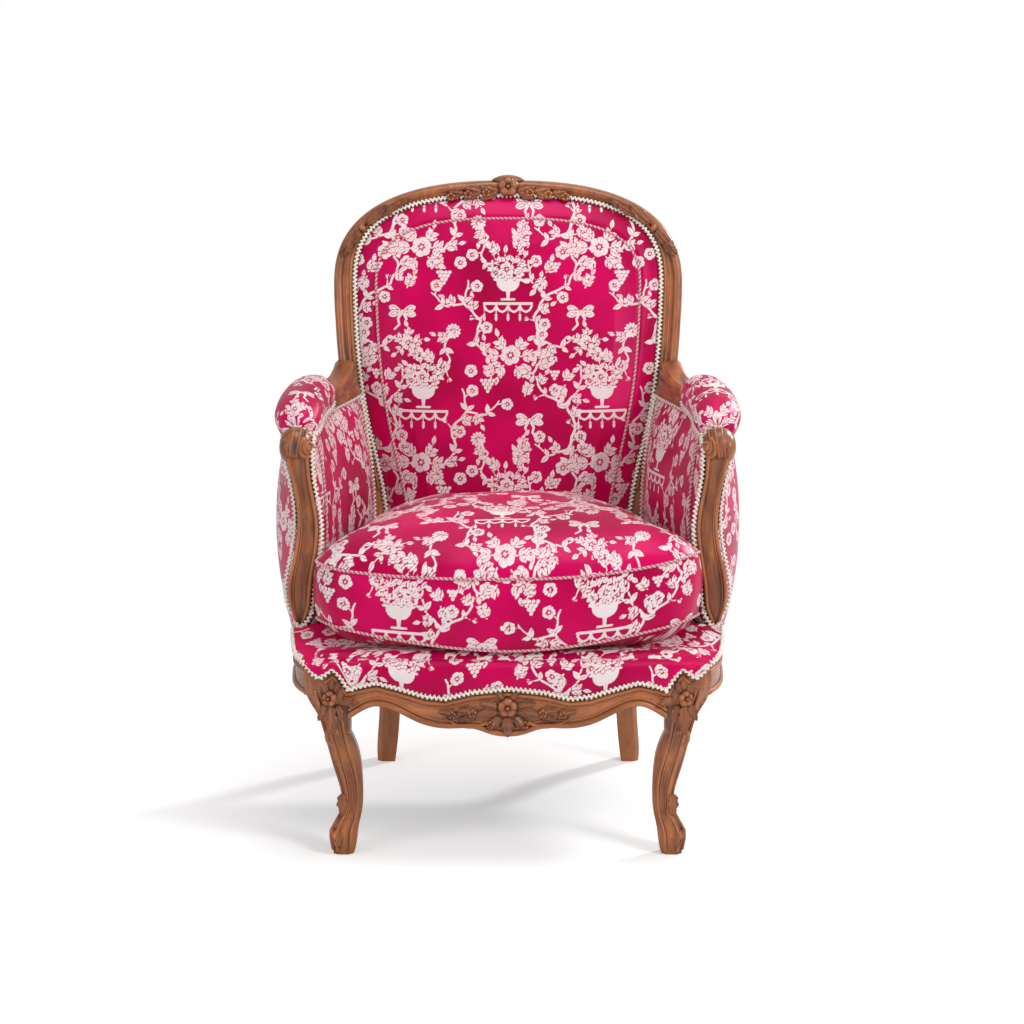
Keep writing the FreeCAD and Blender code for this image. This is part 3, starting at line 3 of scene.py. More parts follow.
import bpy
import numpy as np
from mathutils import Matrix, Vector


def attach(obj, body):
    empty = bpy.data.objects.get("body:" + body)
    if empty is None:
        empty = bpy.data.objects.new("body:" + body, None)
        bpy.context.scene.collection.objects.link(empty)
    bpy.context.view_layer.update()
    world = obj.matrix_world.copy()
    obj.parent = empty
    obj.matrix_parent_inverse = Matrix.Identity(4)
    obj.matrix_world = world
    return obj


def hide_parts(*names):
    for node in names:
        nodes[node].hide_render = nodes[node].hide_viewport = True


# Looks of the bergere armchair. Lengths in the form code are millimetres in the
# drawing frame of the chair, whose depth plane lies SET_BACK behind the origin
# of the row frame; make_mesh() turns them into metres in the row frame.

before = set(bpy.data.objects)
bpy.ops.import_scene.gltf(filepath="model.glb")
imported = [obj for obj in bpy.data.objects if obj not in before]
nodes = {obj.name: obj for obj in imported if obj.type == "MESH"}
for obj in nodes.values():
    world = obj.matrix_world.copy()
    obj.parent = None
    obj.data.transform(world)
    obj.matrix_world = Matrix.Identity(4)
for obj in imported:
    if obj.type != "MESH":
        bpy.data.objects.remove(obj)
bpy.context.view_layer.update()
SET_BACK = 29.2425
TO_METRES = 0.001


# Materials
def material(name, base, rough, specular=0.5):
    """A Principled material with its own colour, roughness and specular level."""
    mat = bpy.data.materials.new(name)
    mat.use_nodes = True
    shader = mat.node_tree.nodes["Principled BSDF"]
    shader.inputs["Base Color"].default_value = (*base, 1)
    shader.inputs["Roughness"].default_value = rough
    shader.inputs["Specular IOR Level"].default_value = specular
    return mat, mat.node_tree, shader


def feed(tree, socket, value):
    """A value or another node's output on a socket."""
    if isinstance(value, bpy.types.NodeSocket):
        tree.links.new(value, socket)
    else:
        socket.default_value = value


def node(tree, kind, *first, **named):
    """A node fed in socket order, then by name; an underscore stands for a space."""
    made = tree.nodes.new(kind)
    for socket, value in zip(made.inputs, first):
        feed(tree, socket, value)
    for key, value in named.items():
        feed(tree, made.inputs[key.replace("_", " ")], value)
    return made


def maths(tree, operation, *values):
    made = node(tree, "ShaderNodeMath", *values)
    made.operation = operation
    return made.outputs[0]


def spread(tree, value, **limits):
    """A value mapped from one span to another."""
    return node(tree, "ShaderNodeMapRange", Value=value, **limits).outputs["Result"]


def ramp(tree, factor, stops):
    """A colour ramp read by a factor."""
    made = tree.nodes.new("ShaderNodeValToRGB")
    line = made.color_ramp
    while len(line.elements) < len(stops):
        line.elements.new(0.5)
    for element, (at, colour) in zip(line.elements, stops):
        element.position = at
        element.color = (*colour, 1)
    feed(tree, made.inputs["Fac"], factor)
    return made.outputs["Color"]


def mixed(tree, factor, a, b, mode="MIX"):
    """Two colours mixed; each value is a number, a colour or a socket."""
    made = tree.nodes.new("ShaderNodeMix")
    made.data_type = "RGBA"
    made.blend_type = mode
    for place, value in ((0, factor), (6, a), (7, b)):
        feed(tree, made.inputs[place], (*value, 1) if isinstance(value, tuple) else value)
    return made.outputs[2]


def mapped(tree, scale=(1, 1, 1), kind="Object"):
    """Scaled texture coordinates."""
    coords = node(tree, "ShaderNodeTexCoord").outputs[kind]
    return node(tree, "ShaderNodeMapping", Vector=coords, Scale=scale).outputs["Vector"]


def noise(tree, vector, scale, detail, rough, distortion=0.0):
    return node(tree, "ShaderNodeTexNoise", Vector=vector, Scale=scale, Detail=detail, Roughness=rough,
                Distortion=distortion).outputs["Fac"]


def threads(tree, vector, scale, distortion, detail, direction):
    """Bands across one direction, as of woven threads."""
    made = node(tree, "ShaderNodeTexWave", Vector=vector, Scale=scale, Distortion=distortion, Detail=detail)
    made.bands_direction = direction
    return made.outputs["Fac"]


def bump(tree, shader, height, strength, distance):
    made = node(tree, "ShaderNodeBump", Strength=strength, Distance=distance, Height=height)
    feed(tree, shader.inputs["Normal"], made.outputs["Normal"])


def wood_material(name, light, mid, dark, along, worn=0.5):
    """Waxed carved wood: grain along one axis, painted shade in hollows, pale on worn edges."""
    mat, tree, shader = material(name, mid, 0.42, 0.5)
    shader.inputs["Coat Weight"].default_value = 0.35
    shader.inputs["Coat Roughness"].default_value = 0.22
    scale = [70, 70, 70]
    scale["XYZ".index(along)] = 4.5
    grain = noise(tree, mapped(tree, scale), 1.0, 7.0, 0.62, 0.6)
    cloud = noise(tree, mapped(tree), 9.0, 4.0, 0.55)
    colour = ramp(tree, grain, [(0.30, dark), (0.48, mid), (0.68, light)])
    shade = ramp(tree, cloud, [(0.32, (0.52, 0.48, 0.46)), (0.62, (1.12, 1.08, 1.0))])
    colour = mixed(tree, 0.75, colour, shade, "MULTIPLY")
    # Painted shade: the colour is darkened where ambient occlusion finds hollows and corners.
    hollow = node(tree, "ShaderNodeAmbientOcclusion", Distance=0.009)
    hollow.samples = 6
    painted_hollow_shade = ramp(tree, hollow.outputs["AO"], [(0.30, (0.20, 0.14, 0.11)), (0.88, (1, 1, 1))])
    colour = mixed(tree, 1.0, colour, painted_hollow_shade, "MULTIPLY")
    edges = node(tree, "ShaderNodeNewGeometry").outputs["Pointiness"]
    wear = ramp(tree, edges, [(0.515, (0, 0, 0)), (0.60, (1, 1, 1))])
    pale = tuple(min(1, c * 1.7) for c in light)
    colour = mixed(tree, maths(tree, "MULTIPLY", wear, worn), colour, pale)
    feed(tree, shader.inputs["Base Color"], colour)
    feed(tree, shader.inputs["Roughness"], spread(tree, cloud, To_Min=0.30, To_Max=0.56))
    bump(tree, shader, grain, 0.35, 0.0007)
    return mat


WALNUT = ((0.400, 0.128, 0.034), (0.245, 0.068, 0.019), (0.070, 0.020, 0.009))
wood_up = wood_material("walnut_upright", *WALNUT, "Z")
wood_across = wood_material("walnut_across", *WALNUT, "X")
wood_deep = wood_material("walnut_lengthwise", *WALNUT, "Y")
beech = wood_material("beech", (0.62, 0.45, 0.27), (0.52, 0.36, 0.20), (0.40, 0.26, 0.14), "X", 0.1)


def brocade_material():
    """Crimson satin with a silver-white woven figure, by the mesh attribute figure."""
    mat, tree, shader = material("brocade", (0.6, 0.0, 0.1), 0.4, 0.55)
    shader.inputs["Specular Tint"].default_value = (1.0, 0.16, 0.42, 1)
    figure, tone = (node(tree, "ShaderNodeAttribute") for _ in range(2))
    figure.attribute_name, tone.attribute_name = "figure", "tone"
    cover = spread(tree, figure.outputs["Fac"], From_Min=-0.0002, From_Max=0.0002, To_Min=1.0, To_Max=0.0)
    uv = mapped(tree, kind="UV")
    rib = threads(tree, uv, 330.0, 0.4, 1.0, "Y")
    thread = threads(tree, uv, 520.0, 0.6, 1.0, "X")
    # Painted sheen and shade: a large soft noise makes the crimson ground lighter and darker, as light on
    # satin folds would.
    cloud = noise(tree, uv, 7.0, 2.0, 0.45)
    satin_ground_and_painted_sheen = ramp(tree, cloud, [(0.32, (0.34, 0.0, 0.040)), (0.66, (0.60, 0.0, 0.090))])
    silver = ramp(tree, thread, [(0.1, (0.68, 0.58, 0.58)), (0.8, (0.86, 0.79, 0.78))])
    shade = mixed(tree, tone.outputs["Fac"], silver, (0.55, 0.20, 0.25))
    feed(tree, shader.inputs["Base Color"], mixed(tree, cover, satin_ground_and_painted_sheen, shade))
    feed(tree, shader.inputs["Roughness"], spread(tree, cover, To_Min=0.33, To_Max=0.55))
    shader.inputs["Sheen Weight"].default_value = 0.08
    shader.inputs["Sheen Roughness"].default_value = 0.35
    shader.inputs["Sheen Tint"].default_value = (1.0, 0.45, 0.62, 1)
    bump(tree, shader, maths(tree, "MULTIPLY_ADD", rib, 0.25, cover), 0.35, 0.0006)
    return mat


def thread_material(name, light, dark, scale, rough=0.75):
    """Twisted or woven yarn: painted highlight on its crowns, painted shade between its threads."""
    mat, tree, shader = material(name, light, rough, 0.3)
    grain = noise(tree, mapped(tree), scale, 3.0, 0.6)
    # Painted highlight and shade: the colour is pale where the bump is high and dark where it is low.
    feed(tree, shader.inputs["Base Color"], ramp(tree, grain, [(0.35, dark), (0.6, light)]))
    shader.inputs["Sheen Weight"].default_value = 0.3
    bump(tree, shader, grain, 0.5, 0.0005)
    return mat


def woven_material(name, light, dark, pitch):
    """Open coarse weave in two directions."""
    mat, tree, shader = material(name, light, 0.85, 0.2)
    vector = mapped(tree)
    both = mixed(tree, 0.5, *(threads(tree, vector, 0.16 / pitch, 1.2, 2.0, axis) for axis in "XY"))
    feed(tree, shader.inputs["Base Color"], ramp(tree, both, [(0.25, dark), (0.7, light)]))
    bump(tree, shader, both, 0.6, 0.0008)
    return mat


brocade = brocade_material()
gimp_mat = thread_material("gimp", (0.90, 0.84, 0.76), (0.66, 0.56, 0.47), 420)
cord_pale = thread_material("cord_cream", (0.84, 0.66, 0.62), (0.55, 0.36, 0.34), 600)
cord_rose = thread_material("cord_rose", (0.62, 0.16, 0.24), (0.40, 0.05, 0.10), 600)
selvage = thread_material("brocade_turning", (0.52, 0.01, 0.07), (0.30, 0.0, 0.03), 500)
jute = woven_material("jute", (0.55, 0.42, 0.26), (0.28, 0.19, 0.10), 0.003)
scrim = woven_material("scrim", (0.60, 0.47, 0.30), (0.34, 0.24, 0.13), 0.0015)
black_cloth = woven_material("black_cloth", (0.035, 0.034, 0.033), (0.012, 0.012, 0.012), 0.001)
steel = thread_material("screw_steel", (0.46, 0.45, 0.43), (0.30, 0.29, 0.28), 60, 0.35)
steel.node_tree.nodes["Principled BSDF"].inputs["Metallic"].default_value = 1.0
iron = thread_material("tack_iron", (0.06, 0.06, 0.07), (0.03, 0.03, 0.035), 90, 0.45)


# Mesh builders
def make_mesh(name, points, faces, mat, body="chair_frame", smooth=True, uv=None, fields=None):
    """A mesh from millimetre points of the drawing frame, riding on a body."""
    points = np.asarray(points, float).reshape(-1, 3).copy()
    points[:, 1] -= SET_BACK
    mesh = bpy.data.meshes.new(name)
    mesh.from_pydata((points * TO_METRES).tolist(), [], [list(map(int, f)) for f in faces])
    if smooth:
        mesh.polygons.foreach_set("use_smooth", [True] * len(mesh.polygons))
    if uv is not None:
        layer = mesh.uv_layers.new(name="UVMap")
        corners = np.zeros(len(mesh.loops), int)
        mesh.loops.foreach_get("vertex_index", corners)
        layer.data.foreach_set("uv", (np.asarray(uv)[corners] * TO_METRES).ravel())
    for key, values in (fields or {}).items():
        mesh.attributes.new(key, "FLOAT", "POINT").data.foreach_set(
            "value", np.asarray(values, np.float32).ravel())
    mesh.validate()
    mesh.update()
    obj = bpy.data.objects.new(name, mesh)
    bpy.context.scene.collection.objects.link(obj)
    mesh.materials.append(mat)
    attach(obj, body)
    return obj


def grid_faces(rows, cols, close_cols=False, close_rows=False, flip=False):
    """Quads of a grid of points stored row by row."""
    r = np.arange(rows if close_rows else rows - 1)
    c = np.arange(cols if close_cols else cols - 1)
    r, c = np.meshgrid(r, c, indexing="ij")
    r1, c1 = (r + 1) % rows, (c + 1) % cols
    quads = np.stack([r * cols + c, r * cols + c1, r1 * cols + c1, r1 * cols + c], -1).reshape(-1, 4)
    return quads[:, ::-1] if flip else quads


def smooth_line(xs, ys, at):
    """A natural cubic line through stations, read at other places."""
    xs, ys = np.asarray(xs, float), np.asarray(ys, float)
    shape = np.shape(at) + ys.shape[1:]
    at = np.ravel(np.asarray(at, float))
    n = len(xs)
    h = np.diff(xs)
    flat = ys.reshape(n, -1)
    a = np.zeros((n, n))
    b = np.zeros_like(flat)
    a[0, 0] = a[-1, -1] = 1
    for i in range(1, n - 1):
        a[i, i - 1:i + 2] = h[i - 1], 2 * (h[i - 1] + h[i]), h[i]
        b[i] = 6 * ((flat[i + 1] - flat[i]) / h[i] - (flat[i] - flat[i - 1]) / h[i - 1])
    m = np.linalg.solve(a, b)
    k = np.clip(np.searchsorted(xs, at) - 1, 0, n - 2)
    t = np.clip(at, xs[0], xs[-1]) - xs[k]
    hk, t = h[k][:, None], t[:, None]
    out = (flat[k] + t * ((flat[k + 1] - flat[k]) / hk - hk * (2 * m[k] + m[k + 1]) / 6)
           + t ** 2 * m[k] / 2 + t ** 3 * (m[k + 1] - m[k]) / (6 * hk))
    return out.reshape(shape)


def run_along(points):
    """Length along a line at each of its points."""
    return np.concatenate([[0], np.cumsum(np.linalg.norm(np.diff(points, axis=0), axis=1))])


def xyz(x, y, z):
    """Points from three coordinates, each one number or an array of numbers."""
    return np.stack(np.broadcast_arrays(x, y, z), -1).astype(float)


def even(points, step=None, count=None, closed=False):
    """Points along a polyline at an even spacing."""
    points = np.asarray(points, float)
    if closed:
        points = np.vstack([points, points[:1]])
    run = run_along(points)
    count = count or max(2, int(round(run[-1] / step)) + 1)
    at = np.linspace(0, run[-1], count + 1)[:-1] if closed else np.linspace(0, run[-1], count)
    return np.stack([np.interp(at, run, points[:, k]) for k in range(points.shape[1])], 1)


def unit(v):
    return v / np.maximum(np.linalg.norm(v, axis=-1, keepdims=True), 1e-9)


def sweep(path, radius, sides=6, closed=False):
    """A round tube along a path; radius is one number or one for each point."""
    path = np.asarray(path, float)
    ahead = np.roll(path, -1, 0) - np.roll(path, 1, 0)
    if not closed:
        ahead[0], ahead[-1] = path[1] - path[0], path[-1] - path[-2]
    ahead = unit(ahead)
    side = np.zeros_like(path)
    start = np.array([0.0, 0.0, 1.0]) if abs(ahead[0][2]) < 0.9 else np.array([0.0, 1.0, 0.0])
    for i, direction in enumerate(ahead):
        start = start - direction * (start @ direction)
        start = start / max(np.linalg.norm(start), 1e-9)
        side[i] = start
    up = np.cross(ahead, side)
    angle = np.arange(sides) / sides * 2 * math.pi
    r = np.broadcast_to(radius, (len(path),))[:, None, None]
    points = path[:, None] + r * (side[:, None] * np.cos(angle)[None, :, None]
                                  + up[:, None] * np.sin(angle)[None, :, None])
    faces = list(grid_faces(len(path), sides, True, closed))
    if not closed:
        faces += [tuple(range(sides))[::-1], tuple(range((len(path) - 1) * sides, len(path) * sides))]
    return points.reshape(-1, 3), faces


def join(parts):
    """Several (points, faces) as one."""
    points, faces, base = [], [], 0
    for p, f in parts:
        points.append(np.asarray(p).reshape(-1, 3))
        faces += [tuple(i + base for i in face) for face in f]
        base += len(points[-1])
    return np.vstack(points), faces


def flipped(part):
    """The mirror image across the middle plane."""
    points, faces = part
    return np.asarray(points).reshape(-1, 3) * [-1, 1, 1], [tuple(f)[::-1] for f in faces]


def mirrored_pair(parts):
    return parts + [flipped(part) for part in parts]


def grid_part(grid, close_cols=False, flip=False):
    """A grid of points as one (points, faces)."""
    grid = np.asarray(grid, float)
    return grid.reshape(-1, 3), list(grid_faces(*grid.shape[:2], close_cols, False, flip))


# Form of the back frame
# The face of the back stands BACK_AT deep at BACK_FOOT, leans back and bows across.
BACK_AT, BACK_FOOT, BACK_RAKE, BACK_BOW = 200, 380, 0.215, 12
# Half width, top and squareness of the arch outside and round the opening.
FRAME_HALF, FRAME_TOP, FRAME_POWER = 286, 966, 2.5
OPEN_HALF, OPEN_TOP, OPEN_POWER = 246, 938, 2.8
SPRING_Z, STILE_END_Z = 800, 797
PANEL_FOOT_Z = 363


def back_face(x, z):
    return BACK_AT + BACK_RAKE * (z - BACK_FOOT) + BACK_BOW * (1 - (x / FRAME_HALF) ** 2)


# Inner edge of the back post by height.
POST_Z = [0, 40, 90, 155, 225, 291, 380, 475, 560, 650, 728, 800]
POST_IN = [190, 185, 181, 181, 186, 186, 189, 200, 220, 236, 243, 246]


def post_inner(z):
    return smooth_line(POST_Z, POST_IN, z)


def power_curve(wide, top, power, angle):
    """A squarish arch over the stiles, from the right for rising angles."""
    c, s = np.cos(angle), np.sin(angle)
    return np.stack([wide * np.sign(c) * np.abs(c) ** (2 / power),
                     SPRING_Z + (top - SPRING_Z) * np.abs(s) ** (2 / power)], -1)


def back_line(offset, low_z, step=None, count=None):
    """Right foot to left foot round the opening of the back, outside it by an offset."""
    z = np.linspace(low_z, STILE_END_Z, 60)
    right = np.stack([post_inner(z) + offset, z], 1)
    arch = power_curve(OPEN_HALF + offset, OPEN_TOP + offset, OPEN_POWER, np.linspace(0, math.pi, 241))
    left = right[::-1] * [-1, 1]
    return even(np.vstack([right, arch[1:-1], left]), step=step, count=count)


def on_back(line, lift):
    """Points in front of the back frame by a lift along its normal."""
    x, z = line[:, 0], line[:, 1]
    return xyz(x, back_face(x, z) - lift, z + 0.2 * lift)


# Woven figure
TILE_W, TILE_H, TILE_STEP = 300.0, 360.0, 0.75
OPEN_GROUND = 9.0
MOTIF_MARGIN = 1.1


class Figure:
    """A repeating tile of distances to a woven figure, in millimetres."""

    def __init__(self):
        self.nu, self.nv = int(TILE_W / TILE_STEP), int(TILE_H / TILE_STEP)
        self.far = np.full((self.nv, self.nu), OPEN_GROUND, np.float32)
        self.ink = np.zeros((self.nv, self.nu), np.float32)

    def window(self, x, y, reach):
        """Offsets from a point and the cells of the tile within a reach of it."""
        k = int(reach / TILE_STEP) + 2
        ci, cj = int(x / TILE_STEP), int(y / TILE_STEP)
        i, j = np.arange(ci - k, ci + k + 1), np.arange(cj - k, cj + k + 1)
        px, py = np.meshgrid(i * TILE_STEP - x, j * TILE_STEP - y)
        return px, py, np.ix_(j % self.nv, i % self.nu)

    def add(self, where, d, margin=0.0):
        if margin:
            self.cut(where, d - margin)
        self.far[where] = np.minimum(self.far[where], d)

    def cut(self, where, d):
        self.far[where] = np.maximum(self.far[where], -d)

    def disc(self, x, y, r, cut=False):
        px, py, where = self.window(x, y, r + 4)
        d = np.hypot(px, py) - r
        if cut:
            self.cut(where, d)
        else:
            self.add(where, d, MOTIF_MARGIN)

    def capsule(self, a, b, ra, rb, cut=False):
        mid = [(a[0] + b[0]) / 2, (a[1] + b[1]) / 2]
        half = math.hypot(b[0] - a[0], b[1] - a[1]) / 2
        px, py, where = self.window(*mid, half + max(ra, rb) + 4)
        ux, uy = (b[0] - mid[0]), (b[1] - mid[1])
        t = np.clip((px * ux + py * uy) / max(half * half, 1e-6), -1, 1)
        d = np.hypot(px - t * ux, py - t * uy) - (ra + (rb - ra) * (t + 1) / 2)
        (self.cut if cut else self.add)(where, d)

    def stroke(self, points, r0, r1, cut=False):
        n = len(points) - 1
        for k in range(n):
            ra, rb = (r0 + (r1 - r0) * j / n for j in (k, k + 1))
            self.capsule(points[k], points[k + 1], ra, rb, cut)

    def blade(self, x, y, angle, length, wide, rib=True, round_tip=False):
        """A leaf or petal from its foot; round_tip makes it broad at the end."""
        px, py, where = self.window(x + math.cos(angle) * length / 2, y + math.sin(angle) * length / 2,
                                    length / 2 + 4)
        c, s = math.cos(angle), math.sin(angle)
        a = (px * c + py * s) / length + 0.5
        b = -px * s + py * c
        t = np.clip(a, 0.0, 1.0)
        shape = np.sin(math.pi * t ** (1.5 if round_tip else 0.75)) ** (0.6 if round_tip else 0.85)
        over = np.maximum(np.abs(a - 0.5) - 0.5, 0) * length
        d = np.hypot(np.maximum(np.abs(b) - wide * shape, 0) * 0.85, over)
        d = np.where(d > 0, d, (np.abs(b) - wide * shape) * 0.85)
        self.add(where, d, MOTIF_MARGIN)
        if rib:
            line = np.maximum(np.abs(b) - 0.55, (np.abs(a - 0.45) - 0.33) * length)
            self.cut(where, line)

    def sprig(self, x, y, angle, length, pairs, leaf, wide):
        """A stalk with leaves in pairs and one at its tip."""
        bend = 0.25 * math.sin(x + y)
        points = [(x, y)]
        for k in range(6):
            a = angle + bend * k / 3
            x, y = points[-1]
            points.append((x + math.cos(a) * length / 6, y + math.sin(a) * length / 6))
        self.stroke(points, 1.3, 0.8)
        for k in range(pairs):
            q = points[1 + (k * 5) // max(pairs, 1)]
            for hand in (-1, 1):
                self.blade(*q, angle + hand * 0.85, leaf * (1 - 0.08 * k), wide)
        self.blade(*points[-1], angle + bend * 2, leaf, wide)

    def flower(self, x, y, r, petals, turn=0.0):
        """Petals round an eye."""
        for k in range(petals):
            a = turn + 2 * math.pi * k / petals
            self.blade(x + math.cos(a) * r * 0.24, y + math.sin(a) * r * 0.24, a, r * 0.76,
                       0.86 * r * math.sin(math.pi / petals) - 0.35, petals < 8, True)
        self.disc(x, y, r * 0.25, True)
        self.disc(x, y, r * 0.16)

    def bud(self, x, y, angle, r):
        self.disc(x + math.cos(angle) * r, y + math.sin(angle) * r, r)
        for turn in (-0.5, 0, 0.5):
            self.blade(x, y, angle + turn, r * 2.6, r * 0.45, False)

    def berries(self, x, y, r, rows):
        for k in range(rows):
            for j in range(rows - k):
                self.disc(x + (j - (rows - k - 1) / 2) * r * 2.25, y - k * r * 2.0, r)

    def vine(self, points, thick):
        """A woody branch with knots, leaves, buds and side sprays."""
        line = even(np.array(points, float), step=7)
        wave = np.sin(np.arange(len(line)) * 1.9) * 1.1
        line[:, 0] += wave
        self.stroke([tuple(p) for p in line], thick, thick * 0.62)
        for k in range(2, len(line) - 1, 3):
            ahead = math.atan2(*(line[k + 1] - line[k - 1])[::-1])
            hand = 1 if (k // 3) % 2 else -1
            kind = (k // 3) % 4
            x, y = line[k]
            away = ahead + hand * 0.95
            if kind == 0:
                self.sprig(x, y, away, 21, 2, 13, 3.3)
            elif kind == 1:
                self.blade(x, y, away, 17, 4.2)
                self.blade(x, y, ahead - hand * 0.9, 14, 3.6)
            elif kind == 2:
                tip = (x + math.cos(away) * 17, y + math.sin(away) * 17)
                self.stroke([(x, y), tip], 1.2, 0.9)
                self.flower(*tip, 10.5, 5, away)
            else:
                tip = (x + math.cos(away) * 12, y + math.sin(away) * 12)
                self.stroke([(x, y), tip], 1.2, 0.9)
                self.bud(*tip, away, 3.6)
                self.blade(x, y, ahead - hand, 13, 3.4)

    def bow(self, x, y, size):
        """A ribbon bow with two tails."""
        for hand in (-1, 1):
            for spread in (0.35, -0.25):
                a = (0 if hand > 0 else math.pi) + hand * spread
                self.blade(x, y, a, size, size * 0.24, False, True)
                self.blade(x + math.cos(a) * size * 0.3, y + math.sin(a) * size * 0.3, a, size * 0.5,
                           size * 0.08, False, True)
            tail = [(x, y), (x + hand * size * 0.3, y - size * 0.5), (x + hand * size * 0.2, y - size * 0.9),
                    (x + hand * size * 0.55, y - size * 1.25)]
            self.stroke(tail, 2.2, 1.6)
        self.disc(x, y, size * 0.12)

    def urn(self, x, y):
        """A footed bowl of fruit and flowers on a swagged shelf."""
        for k in range(13):
            t = k / 12
            half = 17 * math.sqrt(max(0.0, 1 - (1 - t) ** 2)) + 2
            self.capsule((x - half, y + t * 17), (x + half, y + t * 17), 0.85, 0.85)
        self.capsule((x - 23, y + 20), (x + 23, y + 20), 1.9, 1.9)
        self.capsule((x, y - 12), (x, y), 2.2, 3.4)
        self.capsule((x - 11, y - 13), (x + 11, y - 13), 1.8, 1.8)
        self.capsule((x - 40, y - 20), (x + 40, y - 20), 2.2, 2.2)
        for j in range(4):
            cx = x - 30 + 20 * j
            swag = [(cx + dx, y + dy) for dx, dy in ((-10, -24), (-6, -31), (0, -34), (6, -31), (10, -24))]
            self.stroke(swag, 1.7, 1.7)
            self.disc(cx - 10, y - 40, 2.6)
            self.capsule((cx - 10, y - 26), (cx - 10, y - 40), 0.8, 0.8)
            self.blade(cx - 10, y - 41, -math.pi / 2, 9, 2.4, False)
        self.flower(x - 2, y + 37, 12.5, 6, 0.4)
        self.flower(x - 21, y + 31, 9, 5, 0.1)
        self.flower(x + 19, y + 32, 9.5, 8, 0.2)
        for k in range(7):
            self.disc(x - 14 + 5 * k, y + 24 + 2.2 * math.sin(k * 2.2), 2.5)
        for a in (0.35, 0.75, 1.2, 1.75, 2.3, 2.75):
            self.sprig(x + 22 * math.cos(a), y + 34 + 14 * math.sin(a), a, 17, 1, 14, 3.6)

    def finish(self):
        """Soft ink lines inside the wide parts of the figure."""
        deep = np.clip((-self.far - 0.9) / 1.2, 0, 1)
        j, i = np.mgrid[0:self.nv, 0:self.nu]
        hatch = np.sin((i * 0.8 + j * 1.3) * TILE_STEP * 1.9) > 0.78
        self.ink = (deep * hatch * 0.55).astype(np.float32)

    def read(self, table, u, v):
        x, y = np.mod(u, TILE_W) / TILE_STEP, np.mod(v, TILE_H) / TILE_STEP
        i, j = np.floor(x).astype(int), np.floor(y).astype(int)
        fx, fy = x - i, y - j
        i, j, i1, j1 = i % self.nu, j % self.nv, (i + 1) % self.nu, (j + 1) % self.nv
        return ((table[j, i] * (1 - fx) + table[j, i1] * fx) * (1 - fy)
                + (table[j1, i] * (1 - fx) + table[j1, i1] * fx) * fy)

    def fields(self, u, v):
        return {"figure": self.read(self.far, u, v) * TO_METRES, "tone": self.read(self.ink, u, v)}


VINES = (((38, -62), (52, -22), (40, 18), (58, 52), (96, 70), (112, 104)),
         ((58, 52), (34, 78), (30, 112)),
         ((-34, -54), (-60, -24), (-50, 12), (-78, 40), (-70, 78)),
         ((-78, 40), (-110, 34), (-132, 58)),
         ((52, -22), (86, -34), (108, -14)))
LATE_VINES = (((-96, -6), (-112, -30), (-100, -58), (-116, -84)), ((112, 104), (96, 132), (108, 160)))
FLOWERS = ((0, -46, 17, 6, 0.3), (-26, -66, 12, 10, 0.1), (24, -72, 12, 5, 0.5), (-96, -6, 13, 12, 0.2),
           (88, 126, 13, 6, 0.6))
LATE_FLOWERS = ((-84, 108, 11, 5, 0.9), (128, -26, 12, 6, 0.2))
SPRIGS = ((-118, 96, 1.9, 24, 3, 14, 3.6), (126, 66, 1.2, 24, 3, 14, 3.6), (12, 128, 1.5, 26, 3, 14, 3.6))
LATE_SPRIGS = ((92, -96, 4.2, 26, 3, 15, 4.0), (-20, 122, 2.2, 24, 3, 14, 3.8), (60, 92, 0.9, 20, 2, 14, 3.8))


def woven_figure():
    """The repeat: one group of motifs, and its mirror image half a drop away."""
    tile = Figure()
    for hand, x0, y0 in ((1, 0, 0), (-1, TILE_W / 2, TILE_H / 2)):
        def draw(motif, table):
            for x, y, *rest in table:
                motif(x0 + hand * x, y0 + y, *rest)

        def grow(vines, thicknesses):
            for vine, thick in zip(vines, thicknesses):
                tile.vine([(x0 + hand * x, y0 + y) for x, y in vine], thick)

        grow(VINES, (2.6, 2.0, 2.3, 1.9, 1.8))
        draw(tile.urn, [(-4, 60)])
        draw(tile.bow, [(118, 26, 24)])
        draw(tile.flower, FLOWERS)
        for a, reach in ((0.1, 26), (0.9, 24), (2.2, 24), (3.0, 26), (4.0, 22), (5.3, 22)):
            turn = a if hand > 0 else math.pi - a
            draw(tile.sprig, [(17 * math.cos(a), -50 + 17 * math.sin(a), turn, reach, 2, 15, 3.8)])
        draw(tile.berries, [(-112, 92, 3.0, 4), (74, -74, 2.8, 3)])
        draw(tile.sprig, SPRIGS)
        grow(LATE_VINES, (1.9, 1.9))
        draw(tile.sprig, LATE_SPRIGS)
        draw(tile.flower, LATE_FLOWERS)
        for a in (0.3, 1.5, 2.7, 3.9, 5.1):
            draw(tile.sprig, [(128 + 12 * math.cos(a), -26 + 12 * math.sin(a), a, 15, 1, 12, 3.4)])
    tile.finish()
    return tile


tile = woven_figure()


def panel(name, grid, u, v, body="chair_frame", flip=False, close=False, shift=(0, 0)):
    """A fabric surface with the woven figure laid along its own threads."""
    rows, cols = grid.shape[:2]
    u, v = u + shift[0], v + shift[1]
    obj = make_mesh(name, grid, grid_faces(rows, cols, close, False, flip), brocade, body,
                    uv=np.stack([u.ravel(), v.ravel()], 1), fields=tile.fields(u.ravel(), v.ravel()))
    return obj


# Upholstery
BACK_SEAM_IN = 30
SIDES = ((1, "left"), (-1, "right"))


